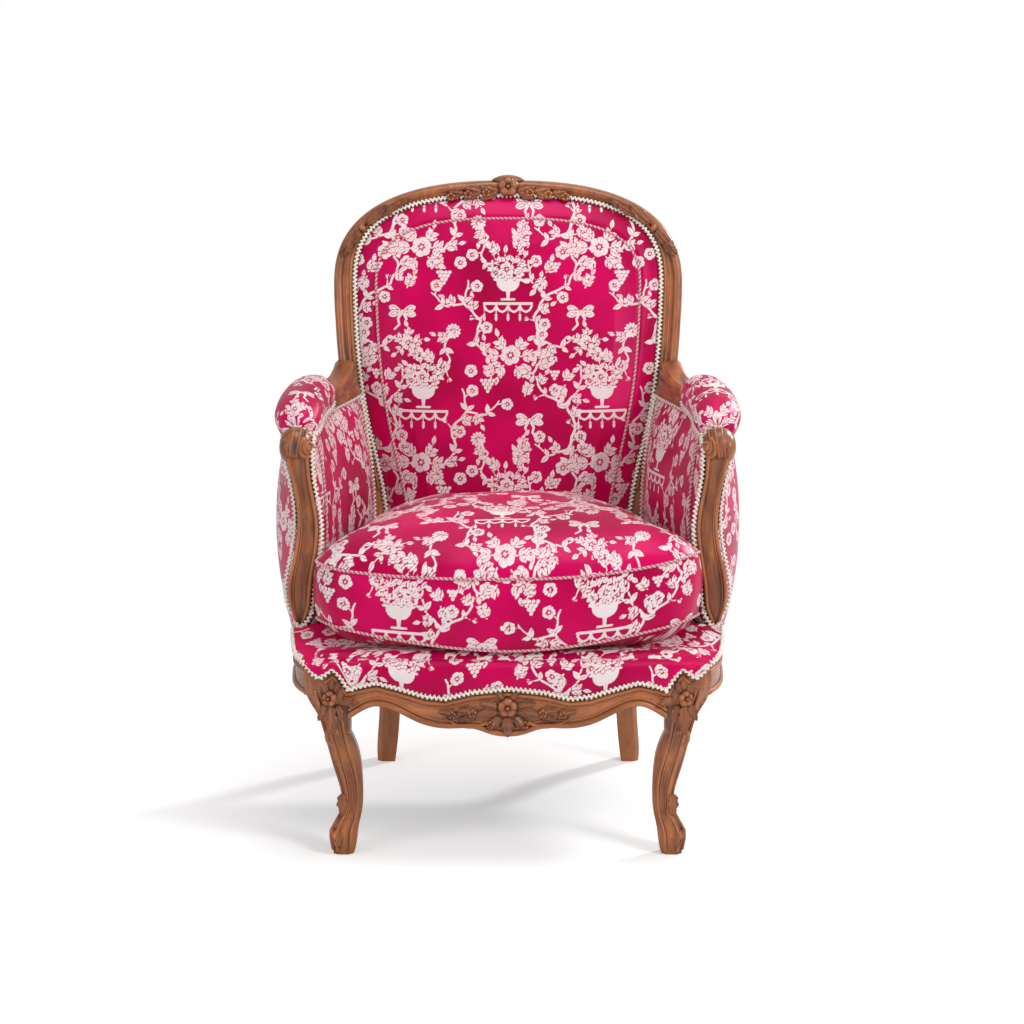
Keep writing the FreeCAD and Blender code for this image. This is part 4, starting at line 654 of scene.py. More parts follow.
def back_height(x, z, edge):
    """Height of the inside back before its frame, by the distance from its edge."""
    share = np.clip((z - PANEL_FOOT_Z) / (OPEN_TOP - PANEL_FOOT_Z), 0, 1)
    crown = 47 + 6 * np.sin(math.pi * share) - 26 * share ** 2
    border = np.clip(edge / 34, 0, 1)
    rim = 15 * (1 - (1 - border) ** 2) ** 0.9
    dome = (crown - 13) * (1 - np.clip(np.abs(x) / 250, 0, 1) ** 2.2) * np.clip(edge / 70, 0, 1) ** 0.8
    seam = 1.6 * np.exp(-((edge - BACK_SEAM_IN) / 3.2) ** 2)
    soft = 1.3 * np.sin(x / 41 + 1.0) * np.sin(z / 57) * border
    return 0.6 + rim + dome - seam + soft


def edge_distance(x, z, line):
    """Distance of each point from a line of the back, row by row."""
    far = np.empty(x.shape)
    for k in range(len(x)):
        far[k] = np.sqrt(((x[k][:, None] - line[None, :, 0]) ** 2
                          + (z[k][:, None] - line[None, :, 1]) ** 2).min(1))
    return far


def back_sheet(step, count):
    """Places over the opening of the back and their distances from its edge."""
    outline = back_line(1.0, PANEL_FOOT_Z, step=3)
    half = even(outline[:len(outline) // 2 + 1], step=step)
    x = half[:, :1] * np.linspace(-1, 1, count)
    z = np.broadcast_to(half[:, 1:], x.shape)
    return x, z, edge_distance(x, z, outline)


def inside_back():
    x, z, edge = back_sheet(1.7, 292)
    return xyz(x, back_face(x, z) - back_height(x, z, edge), z)


def outside_back():
    x, z, edge = back_sheet(2.6, 190)
    return xyz(x, back_face(x, z) + 32.6 + 3.5 * np.clip(edge / 60, 0, 1) ** 0.7, z)


back_grid = inside_back()
back_panel = panel("back_inside_panel", back_grid, back_grid[..., 0] * 1.03, back_grid[..., 2] * 1.05,
                   shift=(-4, -52))
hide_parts("back_inside_cover", "back_pad")

# The arm support: outer and inner edge, face and rear, by height.
SUP_Z = [284, 306, 331, 345, 362, 392, 438, 487, 551, 588]
SUP_OUT = [311, 314, 318, 321, 327, 331, 323, 317, 325, 334]
SUP_IN = [303, 306, 311, 306, 299, 295, 288, 285, 296, 298]
SUP_FACE = [-182, -184, -187, -189, -191, -191, -184, -171, -160, -162]
SUP_REAR = [-150, -148, -144, -143, -143, -145, -142, -133, -128, -118]

# The arm rail: its axis from front to back and half its height there.
ARM_AXIS_Y = [-128, -96, -50, 20, 90, 160, 215, 270]
ARM_AXIS_X = [319, 320, 320, 314, 300, 282, 271, 268]
ARM_AXIS_Z = [615, 625, 633, 640, 644, 648, 655, 666]
ARM_HALF_TALL = [12.4, 13.0, 13.5, 13.5, 13.1, 11.6, 13.6, 13.1]

# The side rail: half the width over its outer faces, from front to back.
SIDE_Y = [-238, -190, -126, -60, 12, 90, 163, 213]
SIDE_X = [300, 318, 326, 329, 321, 294.3, 259.6, 227]
SIDE_END_Y = 212

# Inside arm: share of the depth, half span below and above, bulge, height of the top.
INSIDE_ARM = ((0, 300, 297, 9, 608), (0.25, 291, 293, 24, 615), (0.5, 284, 286, 36, 619),
              (0.75, 256, 263, 37, 621), (1, 223, 243, 9, 620))
INSIDE_LOW_Z, INSIDE_TOP_Z = 330, 610
# Outside arm: share of the depth and of the swell.
OUTSIDE_ARM = ((0.0, -0.42), (0.25, 1.1), (0.5, 1.15), (0.75, 0.8), (1.0, -0.7))
OUTSIDE_LOW_Z, OUTSIDE_TOP_Z, OUTSIDE_SWELL = 281, 612, 24


def arm_front(z):
    return -140 + 0.1 * (z - INSIDE_LOW_Z)


def arm_side(share, z, extra):
    """Depth of the arm panels between the support and the back post."""
    rear = back_face(200, z) + extra
    return arm_front(z) + (rear - arm_front(z)) * share


def arm_axis(y):
    """Half span and height of the arm rail's axis."""
    return smooth_line(ARM_AXIS_Y, ARM_AXIS_X, y), smooth_line(ARM_AXIS_Y, ARM_AXIS_Z, y)


def side_outer(y):
    return smooth_line(SIDE_Y, SIDE_X, y)


def arm_sheet(low, high, crown, count_s, count_t, power):
    """A bowed sheet between a lower and an upper edge; crown is along +X on the left."""
    s = np.linspace(0, 1, count_s)
    key = np.linspace(0, 1, len(low))
    low, high, crown = (smooth_line(key, np.asarray(a, float), s) for a in (low, high, crown))
    t = np.linspace(0, 1, count_t)[None, :, None]
    sheet = low[:, None] * (1 - t) + high[:, None] * t
    sheet[..., 0] += crown[:, None] * (4 * t[..., 0] * (1 - t[..., 0])) ** power
    return sheet


def inside_arm():
    low, high, crown = [], [], []
    for share, low_x, high_x, bulge, top in INSIDE_ARM:
        low.append((-low_x, arm_side(share, INSIDE_LOW_Z, -2) - 40 * (1 - share), INSIDE_LOW_Z))
        high.append((-high_x, arm_side(share, INSIDE_TOP_Z, -4) - 34 * (1 - share), top))
        crown.append(bulge)
    return arm_sheet(low, high, crown, 210, 180, 0.8)


def outside_arm():
    low, high, crown = [], [], []
    for share, swell in OUTSIDE_ARM:
        y0, y1 = (arm_side(share, z, 14) - 32 * (1 - share) for z in (OUTSIDE_LOW_Z, OUTSIDE_TOP_Z))
        axis_x, axis_z = arm_axis(y1)
        top_x = 276.0 if share == 1 else axis_x + 17
        low.append((-(side_outer(min(y0, SIDE_END_Y)) - 4.5), y0, OUTSIDE_LOW_Z))
        high.append((-top_x, y1, axis_z - np.interp(y1, ARM_AXIS_Y, ARM_HALF_TALL)))
        crown.append(-OUTSIDE_SWELL * swell)
    return arm_sheet(low, high, crown, 190, 160, 0.9)


arm_grid = inside_arm()
arm_u = np.broadcast_to(run_along(arm_grid[:, 90])[:, None], arm_grid.shape[:2])
for hand, side in SIDES:
    piece = panel("inside_arm_panel_" + side, arm_grid * [hand, 1, 1], arm_u * hand, arm_grid[..., 2] * 1.04,
                  flip=hand < 0, shift=(110, 40))
    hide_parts("inside_arm_cover_" + side, "inside_arm_pad_" + side)

outer_grid = outside_arm()
for hand, side in SIDES:
    piece = panel("outside_arm_panel_" + side, outer_grid * [hand, 1, 1], outer_grid[..., 1] * -1.05 * hand,
                  outer_grid[..., 2] * 1.03, flip=hand > 0, shift=(40, 0))
    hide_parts("outside_arm_cover_" + side, "outside_arm_pad_" + side)

REST_WIDE, REST_TALL, REST_LIFT, REST_OUT = 37, 34, 9, 1
REST_MIDDLE_Y, REST_REACH, REST_ROUND = -18, 112, 0.62


def armrest_roll():
    """A roll over the arm rail, open below, full and round at both ends."""
    turn = np.linspace(0, math.pi, 150)
    y = REST_MIDDLE_Y - REST_REACH * np.sign(np.cos(turn)) * np.abs(np.cos(turn)) ** REST_ROUND
    swell = np.clip(np.maximum(np.sin(turn), 0.0) ** REST_ROUND * 1.04, 0.0, 1.0)[:, None]
    axis_x, axis_z = arm_axis(np.clip(y, -122, 100))
    angle = np.linspace(math.radians(-34), math.radians(232), 130)
    x = REST_OUT - axis_x[:, None] + REST_WIDE * swell * np.cos(angle)
    z = axis_z[:, None] + REST_LIFT + REST_TALL * swell * np.sin(angle)
    pleat = 0.9 * np.sin(angle * 11)[None] * (1 - swell) ** 0.5
    return xyz(x, y[:, None] + pleat, z), angle


rest_grid, rest_angle = armrest_roll()
for hand, side in SIDES:
    piece = panel("armrest_roll_" + side, rest_grid * [hand, 1, 1],
                  np.broadcast_to(rest_angle * 40 * hand, rest_grid.shape[:2]), rest_grid[..., 1] * 1.1,
                  flip=hand > 0, shift=(60, 100))
    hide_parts("armrest_cover_" + side, "armrest_pad_" + side)

rear_grid = outside_back()
rear_panel = panel("back_outside_panel", rear_grid, -rear_grid[..., 0], rear_grid[..., 2] * 1.02, flip=True,
                   shift=(0, -52))
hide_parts("back_outside_cover")

# The seat deck: plan of its lower edge from the left support to the middle of the
# front, and the height of that edge by the distance from the middle.
DECK_PLAN = [(-316, -193), (-314, -222), (-310, -255), (-304, -282), (-293, -299), (-275, -304),
             (-252, -305), (-205, -306), (-160, -307.5), (-80, -311.5), (0, -314)]
DECK_EDGE_X = [0, 54, 92, 122, 159, 194, 224, 234, 246, 258, 267, 277, 286, 296, 303, 309, 313, 316]
DECK_EDGE_Z = [266, 260, 250, 253, 264, 273, 266, 261, 281, 295, 287, 279, 286, 301, 306, 311, 319, 331]
DECK_TOP_Z, DECK_FLAT_Z = 307, 318.4
# Across the roll: share of the way in, reach outward, share of the rise.
DECK_ROLL = ((0, 0, 0), (0.12, 5.5, 0.2), (0.25, 8, 0.5), (0.38, 6, 0.8), (0.5, -4, 1.02),
             (0.62, -22, 1.12), (0.75, -52, 1.2), (1, -110, 1.26))
# Left edge of the flat of the deck, from front to back.
DECK_REAR = [(-307, -150), (-312, -60), (-301, 20), (-274, 95), (-236, 150), (-192, 184), (-183, 200),
             (-180, 215), (-86, 216)]


def deck_path(count):
    """Plan of the deck's edge from left to right, its heights and its outward normals."""
    right = [(-x, y) for x, y in DECK_PLAN[-2::-1]]
    coarse = np.array(DECK_PLAN + right, float)
    run = run_along(coarse)
    plan = even(smooth_line(run, coarse, np.linspace(0, run[-1], 900)), count=count)
    ahead = unit(np.gradient(plan, axis=0))
    out = np.stack([ahead[:, 1], -ahead[:, 0]], 1)
    return plan, np.interp(np.abs(plan[:, 0]), DECK_EDGE_X, DECK_EDGE_Z), out


def deck_surface():
    plan, low, out = deck_path(430)
    top = np.maximum(DECK_TOP_Z, low + 4)
    rows = []
    for _, reach, rise in DECK_ROLL:
        z = low + (top - low) * min(rise, 1.0) + max(rise - 1, 0) * 26
        rows.append(np.column_stack([plan + out * reach, z]))
    shares = [share for share, _, _ in DECK_ROLL]
    return smooth_line(shares, np.array(rows), np.linspace(0, 1, 90)), plan


deck_grid, deck_plan = deck_surface()
deck_run = run_along(deck_plan)
down = np.cumsum(np.concatenate([np.zeros((1, deck_grid.shape[1])),
                                 np.linalg.norm(np.diff(deck_grid, axis=0), axis=2)]), axis=0)
deck_piece = panel("seat_deck_roll", deck_grid,
                   np.broadcast_to(deck_run - deck_run[-1] / 2, deck_grid.shape[:2]), down, shift=(10, 224))
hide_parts("seat_deck_cover", "seat_deck_pad")


def deck_platform():
    """The flat of the deck under the cushion, from the roll back to the rear rail."""
    side = np.array(DECK_REAR, float)
    whole = np.vstack([side[::-1], deck_plan[12:-12], side * [-1, 1]])
    line = even(whole, count=420, closed=True)
    centre = np.array([0.0, -40.0])
    rows, marks = [], []
    for s in np.concatenate([[1.0, 0.998], np.linspace(0.985, 0.03, 90)]):
        xy = centre + (line - centre) * s
        z = 294 if s == 1 else DECK_FLAT_Z - 26 * np.clip((s - 0.90) / 0.10, 0, 1) ** 2.2
        rows.append(np.column_stack([xy, np.full(len(xy), z)]))
        marks.append(xy * [1, 1.04])
    return np.array(rows), np.array(marks)


platform_grid, platform_marks = deck_platform()
panel("seat_deck_platform", platform_grid, platform_marks[..., 0], platform_marks[..., 1], close=True,
      shift=(0, 60))

# The cushion: middle of its plan, left half of its seam line, and its lowest and highest points.
CUSHION_MIDDLE = np.array([0.0, -78.0])
CUSHION_LEFT = [(-226, -280), (-269, -256), (-284, -214), (-281, -205), (-258, -175), (-228.5, 17.6),
                (-176, 124), (-169, 140), (-152, 146)]
CUSHION_FRONT_Y, CUSHION_REAR_Y, CUSHION_HALF = -302, 146, 284
CUSHION_REST_Z, CUSHION_CROWN_Z = 319.2, 507
SEAM_LOW_Z, SEAM_TOP_Z = 342, 434
# Rise of the cushion's top from its seam inward.
CROWN_IN = np.array([0, 0.03, 0.07, 0.13, 0.2, 0.28, 0.37, 0.47, 0.57, 0.68, 0.78, 0.9, 1.0])
CROWN_RISE = np.array([0, 0.17, 0.32, 0.48, 0.62, 0.735, 0.825, 0.895, 0.945, 0.98, 0.995, 1.0, 1.0])


def arc_points(a, b, c, count=24):
    """A round arc in plan through three points."""
    (ax, ay), (bx, by), (cx, cy) = a, b, c
    d = 2 * (ax * (by - cy) + bx * (cy - ay) + cx * (ay - by))
    aa, bb, cc = (x ** 2 + y ** 2 for x, y in (a, b, c))
    ux = (aa * (by - cy) + bb * (cy - ay) + cc * (ay - by)) / d
    uy = (aa * (cx - bx) + bb * (ax - cx) + cc * (bx - ax)) / d
    r = math.hypot(ax - ux, ay - uy)
    angles = np.unwrap([math.atan2(y - uy, x - ux) for x, y in (a, b, c)])
    t = np.linspace(angles[0], angles[2], count)
    return np.stack([ux + r * np.cos(t), uy + r * np.sin(t)], 1)


def cushion_outline(count):
    """Plan of the cushion seams, from the middle of the front round to the left."""
    left = CUSHION_LEFT
    front = arc_points((226, -280), (0, CUSHION_FRONT_Y), left[0])
    half = np.vstack([front[12:], arc_points(*left[:3])[1:], left[3:5], arc_points(*left[4:7])[1:],
                      arc_points(*left[6:])[1:], [(0, CUSHION_REAR_Y)]])
    whole = np.vstack([half, (half * [-1, 1])[-2:0:-1]])
    line = even(whole, count=count, closed=True)
    for _ in range(int(count / 120)):
        line = (np.roll(line, 1, 0) + 2 * line + np.roll(line, -1, 0)) / 4
    return line


def cushion_seams(line):
    """Heights of the lower and the upper seam: both dip in the middle of the front."""
    ahead = np.clip((-90 - line[:, 1]) / 190, 0, 1)
    ahead = ahead * ahead * (3 - 2 * ahead)
    side = np.abs(line[:, 0]) / CUSHION_HALF
    lean = 9 * (line[:, 0] / CUSHION_HALF) * side
    low = SEAM_LOW_Z + ahead * (-20 + 40 * side ** 1.7) + 0.4 * lean * ahead
    top = SEAM_TOP_Z + ahead * (-4 + 22 * side ** 2.6) + lean * ahead
    return low, top


def crease(xy, place, slant, wide, reach):
    """A shallow fold across the cushion's top, one at its deepest point."""
    across = xy[:, 0] - place[0] + slant * (xy[:, 1] - place[1])
    return np.exp(-(across / wide) ** 2) * np.exp(-((xy[:, 1] - place[2]) / reach) ** 2)


def cushion_surface():
    """Rows of the case from its underside up the border to the middle of its top."""
    line = cushion_outline(820)
    low, top = cushion_seams(line)
    ahead = unit(np.roll(line, -1, 0) - np.roll(line, 1, 0))
    out = np.stack([-ahead[:, 1], ahead[:, 0]], 1)
    out *= np.sign(((line - CUSHION_MIDDLE) * out).sum(1))[:, None]
    rows, marks = [], []
    run = run_along(line)
    u_band = (run + run[-1] / 2) % run[-1] - run[-1] / 2
    for s in np.linspace(0.08, 1, 26)[:-1]:
        drop = np.clip((1 - s) / 0.14, 0, 1) ** 0.7
        xy = CUSHION_MIDDLE + (line - CUSHION_MIDDLE) * s
        rows.append(np.column_stack([xy, low + (CUSHION_REST_Z - low) * drop]))
        marks.append(xy - [0, 500])
    bulge = 7.5 + 3.0 * np.exp(-((line[:, 1] + 300) / 30) ** 2) * np.cos(line[:, 0] / 90)
    for k in np.linspace(0, 1, 44):
        pinch = 1.2 * np.sin(u_band / 13.0) * np.sin(u_band / 7.3 + 1) * (1 - 4 * k * (1 - k)) ** 2
        xy = line + out * (bulge * np.sin(math.pi * k) ** 0.75 + pinch * 0.5 * (0 < k < 1))[:, None]
        rows.append(np.column_stack([xy, low + (top - low) * k]))
        marks.append(np.column_stack([u_band, CUSHION_FRONT_Y - (1 - k) * (top - low)]))
    for s in 1 - np.linspace(0, 1, 132)[1:-1] ** 1.08:
        rise = smooth_line(CROWN_IN, CROWN_RISE, np.array([1 - s]))[0]
        xy = CUSHION_MIDDLE + (line - CUSHION_MIDDLE) * s
        wrinkle = (2.2 * np.sin(xy[:, 0] / 37 + 0.6) * np.sin(xy[:, 1] / 49 + 0.4) * rise
                   - 3.2 * crease(xy, (-205, -120, -150), 0.35, 9, 52)
                   - 2.8 * crease(xy, (214, -140, -120), 0.3, 10, 60)
                   + 0.8 * np.sin(u_band / 9.5) * np.exp(-((1 - s) / 0.05 - 1) ** 2))
        rows.append(np.column_stack([xy, top + (CUSHION_CROWN_Z - top) * rise + wrinkle]))
        marks.append(xy * [1.0, 1.05])
    return np.array(rows), np.array(marks), line, low, top, out


cushion_grid, cushion_marks, seam_line, seam_low, seam_top, seam_out = cushion_surface()
rows, cols = cushion_grid.shape[:2]
cushion_faces = list(grid_faces(rows, cols, True, False, True))
cushion_faces += [tuple(range(cols)), tuple(range((rows - 1) * cols, rows * cols))[::-1]]
marks = cushion_marks.reshape(-1, 2) + [4, 246]
cushion = make_mesh("seat_cushion_case", cushion_grid, cushion_faces, brocade, "seat_cushion",
                    uv=marks, fields=tile.fields(marks[:, 0], marks[:, 1]))
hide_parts("cushion_cover", "cushion_filling")


# Braid and cord
BRAID_WIDE, BRAID_PERIOD, LONG_PERIOD = 10.4, 6.8, 12.5
STRAND, HEADING = 1.8, 1.5
CORD_RADIUS, CORD_PITCH = 2.3, 7.0


def braid(path, normal, period=BRAID_PERIOD):
    """Cream gimp: a scrolling strand on a narrow heading along a path."""
    path = np.asarray(path, float)
    run = run_along(path)
    at = np.linspace(0, run[-1], int(run[-1] / period * 9))
    base = np.stack([np.interp(at, run, path[:, k]) for k in range(3)], 1)
    face = np.broadcast_to(np.asarray(normal, float), path.shape)
    face = unit(np.stack([np.interp(at, run, face[:, k]) for k in range(3)], 1))
    ahead = unit(np.gradient(base, axis=0))
    across = unit(np.cross(ahead, face))
    wave = 2 * math.pi * at / period
    line = (base + across * (np.sin(wave) * (BRAID_WIDE / 2 - 1.75))[:, None]
            + ahead * (np.sin(2 * wave) * 0.95)[:, None] + face * (1.7 + 0.4 * np.cos(wave))[:, None])
    return join([sweep(line, STRAND, 5), sweep((base + face * 0.7)[::3], HEADING, 5)])


def twisted(path, closed):
    """The two plies of a twisted cord along a path."""
    path = np.asarray(path, float)
    if closed:
        path = np.vstack([path, path[:1]])
    run = run_along(path)
    at = np.linspace(0, run[-1], int(run[-1] / 0.85))
    base = np.stack([np.interp(at, run, path[:, k]) for k in range(3)], 1)
    for _ in range(3):
        base[1:-1] = (base[:-2] + 2 * base[1:-1] + base[2:]) / 4
    ahead = unit(np.gradient(base, axis=0))
    side = unit(np.cross(ahead, [0.31, 0.47, 0.83]))
    up = np.cross(ahead, side)
    turn = 2 * math.pi * at / CORD_PITCH
    plies = []
    for phase in (0, math.pi):
        away = side * np.cos(turn + phase)[:, None] + up * np.sin(turn + phase)[:, None]
        plies.append(sweep(base + away * CORD_RADIUS * 0.5, CORD_RADIUS * 0.56, 5))
    return plies


def lay_cord(name, path, node_name, body="chair_frame", closed=False):
    for ply, mat, tag in zip(twisted(path, closed), (cord_pale, cord_rose), ("pale", "rose")):
        piece = make_mesh(f"{name}_{tag}_ply", *ply, mat, body)
        if node_name:
            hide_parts(node_name)


def lay_braid(name, parts, *node_names):
    piece = make_mesh(name, *join(parts), gimp_mat)
    if node_names:
        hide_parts(*node_names)


def edge_braid(path, normal, period=BRAID_PERIOD):
    """Braid on an edge of a panel, turned to the side it is seen from."""
    return braid(even(path, step=2.5), unit(np.array(normal, float)), period)


def back_trim():
    normal = unit(np.array([0, -1.0, 0.2]))
    line = back_line(5.4, 366, step=3)
    lay_braid("back_inside_braid", [braid(on_back(line, 1.8), normal)], "back_inside_gimp")
    lay_braid("back_outside_braid", [braid(on_back(line, -37.4), -normal)], "back_outside_gimp")
    x, z = back_line(-BACK_SEAM_IN, 372, step=3).T
    swell = back_height(x, z, np.full(len(x), float(BACK_SEAM_IN)))
    lay_cord("back_seam_cord", xyz(x, back_face(x, z) - swell - 1.6, z), "back_piping")


def cushion_trim():
    for name, heights, node_name in (("cushion_top_cord", seam_top, "cushion_piping_top"),
                                     ("cushion_low_cord", seam_low, "cushion_piping_bottom")):
        ring = np.column_stack([seam_line + seam_out * 2.2, heights])
        lay_cord(name, ring, node_name, "seat_cushion", True)


# Where the deck braid turns round the foot of the left support.
SUPPORT_FOOT = np.array([(-321, -192, 342), (-315, -196, 334), (-307, -194, 337), (-300, -191, 346),
                         (-294, -187, 358)])


def deck_trim():
    plan, low, out = deck_path(500)
    beside = np.abs(out[:, :1]) ** 1.5
    line = np.column_stack([plan + out * (3.2 + 4.4 * beside), low + 3.0])
    normal = unit(np.column_stack([out, np.full(len(plan), 0.1)]) * [0.4, 1, 1] + [0, -0.6, 0])
    foot = edge_braid(smooth_line(np.arange(5), SUPPORT_FOOT, np.linspace(0, 4, 40)), (0.15, -0.95, 0.25))
    lay_braid("deck_braid", [braid(line, normal), foot, flipped(foot)], "deck_gimp")


def inside_arm_braids():
    z = np.linspace(352, 600, 80)
    front = xyz(3.5 - smooth_line(SUP_Z, SUP_IN, z), smooth_line(SUP_Z, SUP_FACE, z) + 4, z)
    front = np.vstack([front, [[-293.5, -152, 608], [-293, -144, 613], [-292.5, -134, 615.5]]])
    return join([edge_braid(front, (0.5, -0.85, 0.1)),
                 edge_braid(arm_grid[12:, -1] + [0.5, 0, 2.5], (0.45, -0.6, 0.66), LONG_PERIOD),
                 edge_braid(arm_grid[-3, 2:] + [2, -2, 0], (0.55, -0.8, 0.2)),
                 edge_braid(arm_grid[2:, 2] + [1, 0, 0], (1, -0.2, 0.3))])


def outside_arm_braids():
    z = np.linspace(352, 600, 80)
    front = xyz(-smooth_line(SUP_Z, SUP_OUT, z) - 3.5, smooth_line(SUP_Z, SUP_FACE, z) + 12, z)
    return join([edge_braid(front, (-0.6, -0.8, 0)),
                 edge_braid(outer_grid[:, 2] + [-0.6, 0, 1.5], (-1, -0.1, 0.1)),
                 edge_braid(outer_grid[-3] + [-0.8, 0, 0], (-1, 0.1, 0)),
                 edge_braid(outer_grid[:, -3] + [-0.8, 0, 0], (-1, -0.1, 0.1))])


def armrest_braids():
    inner = rest_grid[:, 0] + [1.5, -1.5, 1]
    outer = rest_grid[:, -1] + [-1.5, -1.5, 1]
    front = np.array([outer[7], outer[2] + [4, -3, 6], rest_grid[2].mean(0) + [0, -5, -4],
                      inner[2] + [-4, -3, 6], inner[7]])
    return join([edge_braid(inner[6:-6], (0.55, -0.6, 0.55), LONG_PERIOD),
                 edge_braid(outer[6:-6], (-0.9, -0.2, 0.3)), edge_braid(front, (0, -0.9, 0.4))])


def arm_trim():
    inside, outside, rest = inside_arm_braids(), outside_arm_braids(), armrest_braids()
    for hand, side in SIDES:
        lay_braid("inside_arm_braid_" + side, [inside if hand > 0 else flipped(inside)],
                  "inside_arm_gimp_" + side)
        for tag, row in (("front", 26), ("rear", -26)):
            path = arm_grid[row, 40:-6] + [1.6, -1.0, 0]
            lay_cord(f"inside_arm_cord_{tag}_{side}", path * [hand, 1, 1], None)
        lay_braid("outside_arm_braid_" + side, [outside if hand > 0 else flipped(outside)])
        lay_braid("armrest_braid_" + side, [rest if hand > 0 else flipped(rest)])


back_trim()
cushion_trim()
deck_trim()
arm_trim()


# Carved wood
FACE = np.array([0, -1.0, 0.2])
PLUMB = np.array([0, -1.0, 0])
DIAGONAL = np.array([-0.45, -1.0, 0.1])
UP = (0, 0, 1)
DOWN = (0, 0, -1)


def frame_at(normal, ahead):
    """Directions along, across and out of a surface."""
    n = unit(np.asarray(normal, float))
    a = np.asarray(ahead, float)
    a = unit(a - n * (a @ n))
    return a, np.cross(n, a), n


def lump(centre, normal, ahead, length, wide, high, count=(9, 12)):
    """A rounded swelling, half sunk in the wood."""
    a, b, n = frame_at(normal, ahead)
    theta = np.linspace(0, math.pi, count[0])[:, None]
    phi = np.linspace(0, 2 * math.pi, count[1], endpoint=False)[None]
    ring = np.sin(theta)
    local = xyz(ring * np.cos(phi) * length, ring * np.sin(phi) * wide, np.cos(theta) * high)
    return grid_part(np.asarray(centre) + local @ np.array([a, b, n]), True)


def acanthus(foot, normal, ahead, length, wide, high=3.4):
    """A carved leaf: raised rib, hollow halves, lobed rim and a curling tip."""
    a, b, n = frame_at(normal, ahead)
    t = np.linspace(0, 1, 19)[:, None]
    w = np.linspace(-1, 1, 11)[None]
    shape = np.sin(math.pi * np.clip(t * 0.96 + 0.02, 0, 1) ** 0.8) ** 0.75
    shape = shape * (1 + 0.16 * np.cos(t * math.pi * 6 + math.pi)) * wide
    height = high * (0.55 + 0.45 * np.cos(w * math.pi * 1.9)) * (1 - 0.3 * t) + 0.4
    height = height * np.sin(math.pi * np.clip(t, 0.02, 0.98)) ** 0.35 + high * 0.8 * t ** 4
    height = np.where(np.abs(w) > 0.98, -1.0, height)
    return grid_part(np.asarray(foot) + xyz(t * length, w * shape, height) @ np.array([a, b, n]))


def carved_flower(centre, normal, ahead, radius, high):
    """Five rounded petals round an eye."""
    a, b, n = frame_at(normal, ahead)
    parts = []
    for turn in 2 * math.pi * np.arange(5) / 5:
        out = a * math.cos(turn) + b * math.sin(turn)
        parts.append(lump(np.asarray(centre) + out * radius * 0.58, n + out * 0.35, out, radius * 0.46,
                          radius * 0.95 * math.sin(math.pi / 5), high))
    parts.append(lump(np.asarray(centre) + n * high * 0.5, n, a, radius * 0.24, radius * 0.24, high))
    return parts


def wood_piece(name, parts, mat):
    piece = make_mesh(name, *join(parts), mat)
    return piece


def both_sides(name, parts, mat):
    """A piece on the left and its mirror image on the right."""
    return [wood_piece(name + "_left", parts, mat),
            wood_piece(name + "_right", [flipped(part) for part in parts], mat)]


def outer_line(inset, low_z, step=4):
    """Right foot to left foot along the outer edge of the back frame."""
    z = np.linspace(low_z, STILE_END_Z, 40)
    wide = 37 + 3 * np.clip((z - BACK_FOOT) / (SPRING_Z - BACK_FOOT), 0, 1)
    right = np.stack([post_inner(z) + wide - inset, z], 1)
    arch = power_curve(FRAME_HALF - inset, FRAME_TOP - inset, FRAME_POWER, np.linspace(0, math.pi, 181))
    return even(np.vstack([right, arch[1:-1], right[::-1] * [-1, 1]]), step=step)


def before_back(x, z, lift):
    return xyz(x, back_face(x, z) - lift, z)


def back_mouldings():
    """An outer roll, a fillet and an inner bead."""
    for name, line, sunk, radius, sides in (("back_outer_roll", outer_line(7.5, 480), 1.0, 7.4, 12),
                                            ("back_middle_fillet", outer_line(19.5, 480), 0.8, 2.0, 8),
                                            ("back_inner_bead", back_line(12.6, 470, step=4), 0.6, 3.0, 8)):
        wood_piece(name, [sweep(before_back(*line.T, -sunk), radius, sides)], wood_up)


# Crest leaves: distance from the middle, length, tilt, half width.
CREST_LEAVES = ((15, 32, 0.35, 8), (17, 30, -0.45, 7), (42, 30, 0.30, 7.5), (46, 28, -0.35, 6.5),
                (72, 26, 0.22, 6), (76, 24, -0.30, 5))
# Shoulder leaves: place along the arch, length, half width, lean.
SHOULDER_LEAVES = ((52, 40, 9, 0.10), (60, 36, 8, -0.12), (70, 44, 9.5, 0.12), (84, 38, 8, -0.10),
                   (44, 30, 7, 0.05), (98, 34, 7, 0.08))


def crest_fall(x):
    """How far the crest has fallen beside its middle."""
    return 10 * (x / 110) ** 2


def crest_carving():
    parts = carved_flower((0, back_face(0, 960) - 7, 958), FACE, UP, 17, 6.5)
    parts.append(lump((0, back_face(0, 972) + 2, 968), UP, (1, 0, 0), 26, 12, 7))
    for x, reach, tilt, wide in CREST_LEAVES:
        foot = before_back(x, 951 - crest_fall(x), 6)
        parts += mirrored_pair([acanthus(foot, FACE, (1, 0, tilt - 0.1), reach, wide, 4.2)])
    for x in (36, 66, 94):
        parts += mirrored_pair(carved_flower(before_back(x, 949 - crest_fall(x), 7), FACE, UP, 7.5, 4))
    wood_piece("crest_carving", parts, wood_across)


def shoulder_carving():
    parts = []
    arch = power_curve(FRAME_HALF - 9, FRAME_TOP - 9, FRAME_POWER, np.linspace(0, math.pi / 2, 181))
    for k, reach, wide, lean in SHOULDER_LEAVES:
        x, z = arch[k]
        ahead = unit(arch[k + 4] - arch[k]) * (1 if k > 62 else -1)
        foot = (x - 4, back_face(x, z) - 5.5, z - 2)
        parts += mirrored_pair([acanthus(foot, FACE, (ahead[0], 0, ahead[1] + lean), reach, wide, 5.0)])
    x, z = arch[64]
    parts += mirrored_pair([lump((x - 3, back_face(x, z) - 5, z - 2), FACE, (1, 0, 1), 9, 6, 5)])
    wood_piece("shoulder_carving", parts, wood_up)


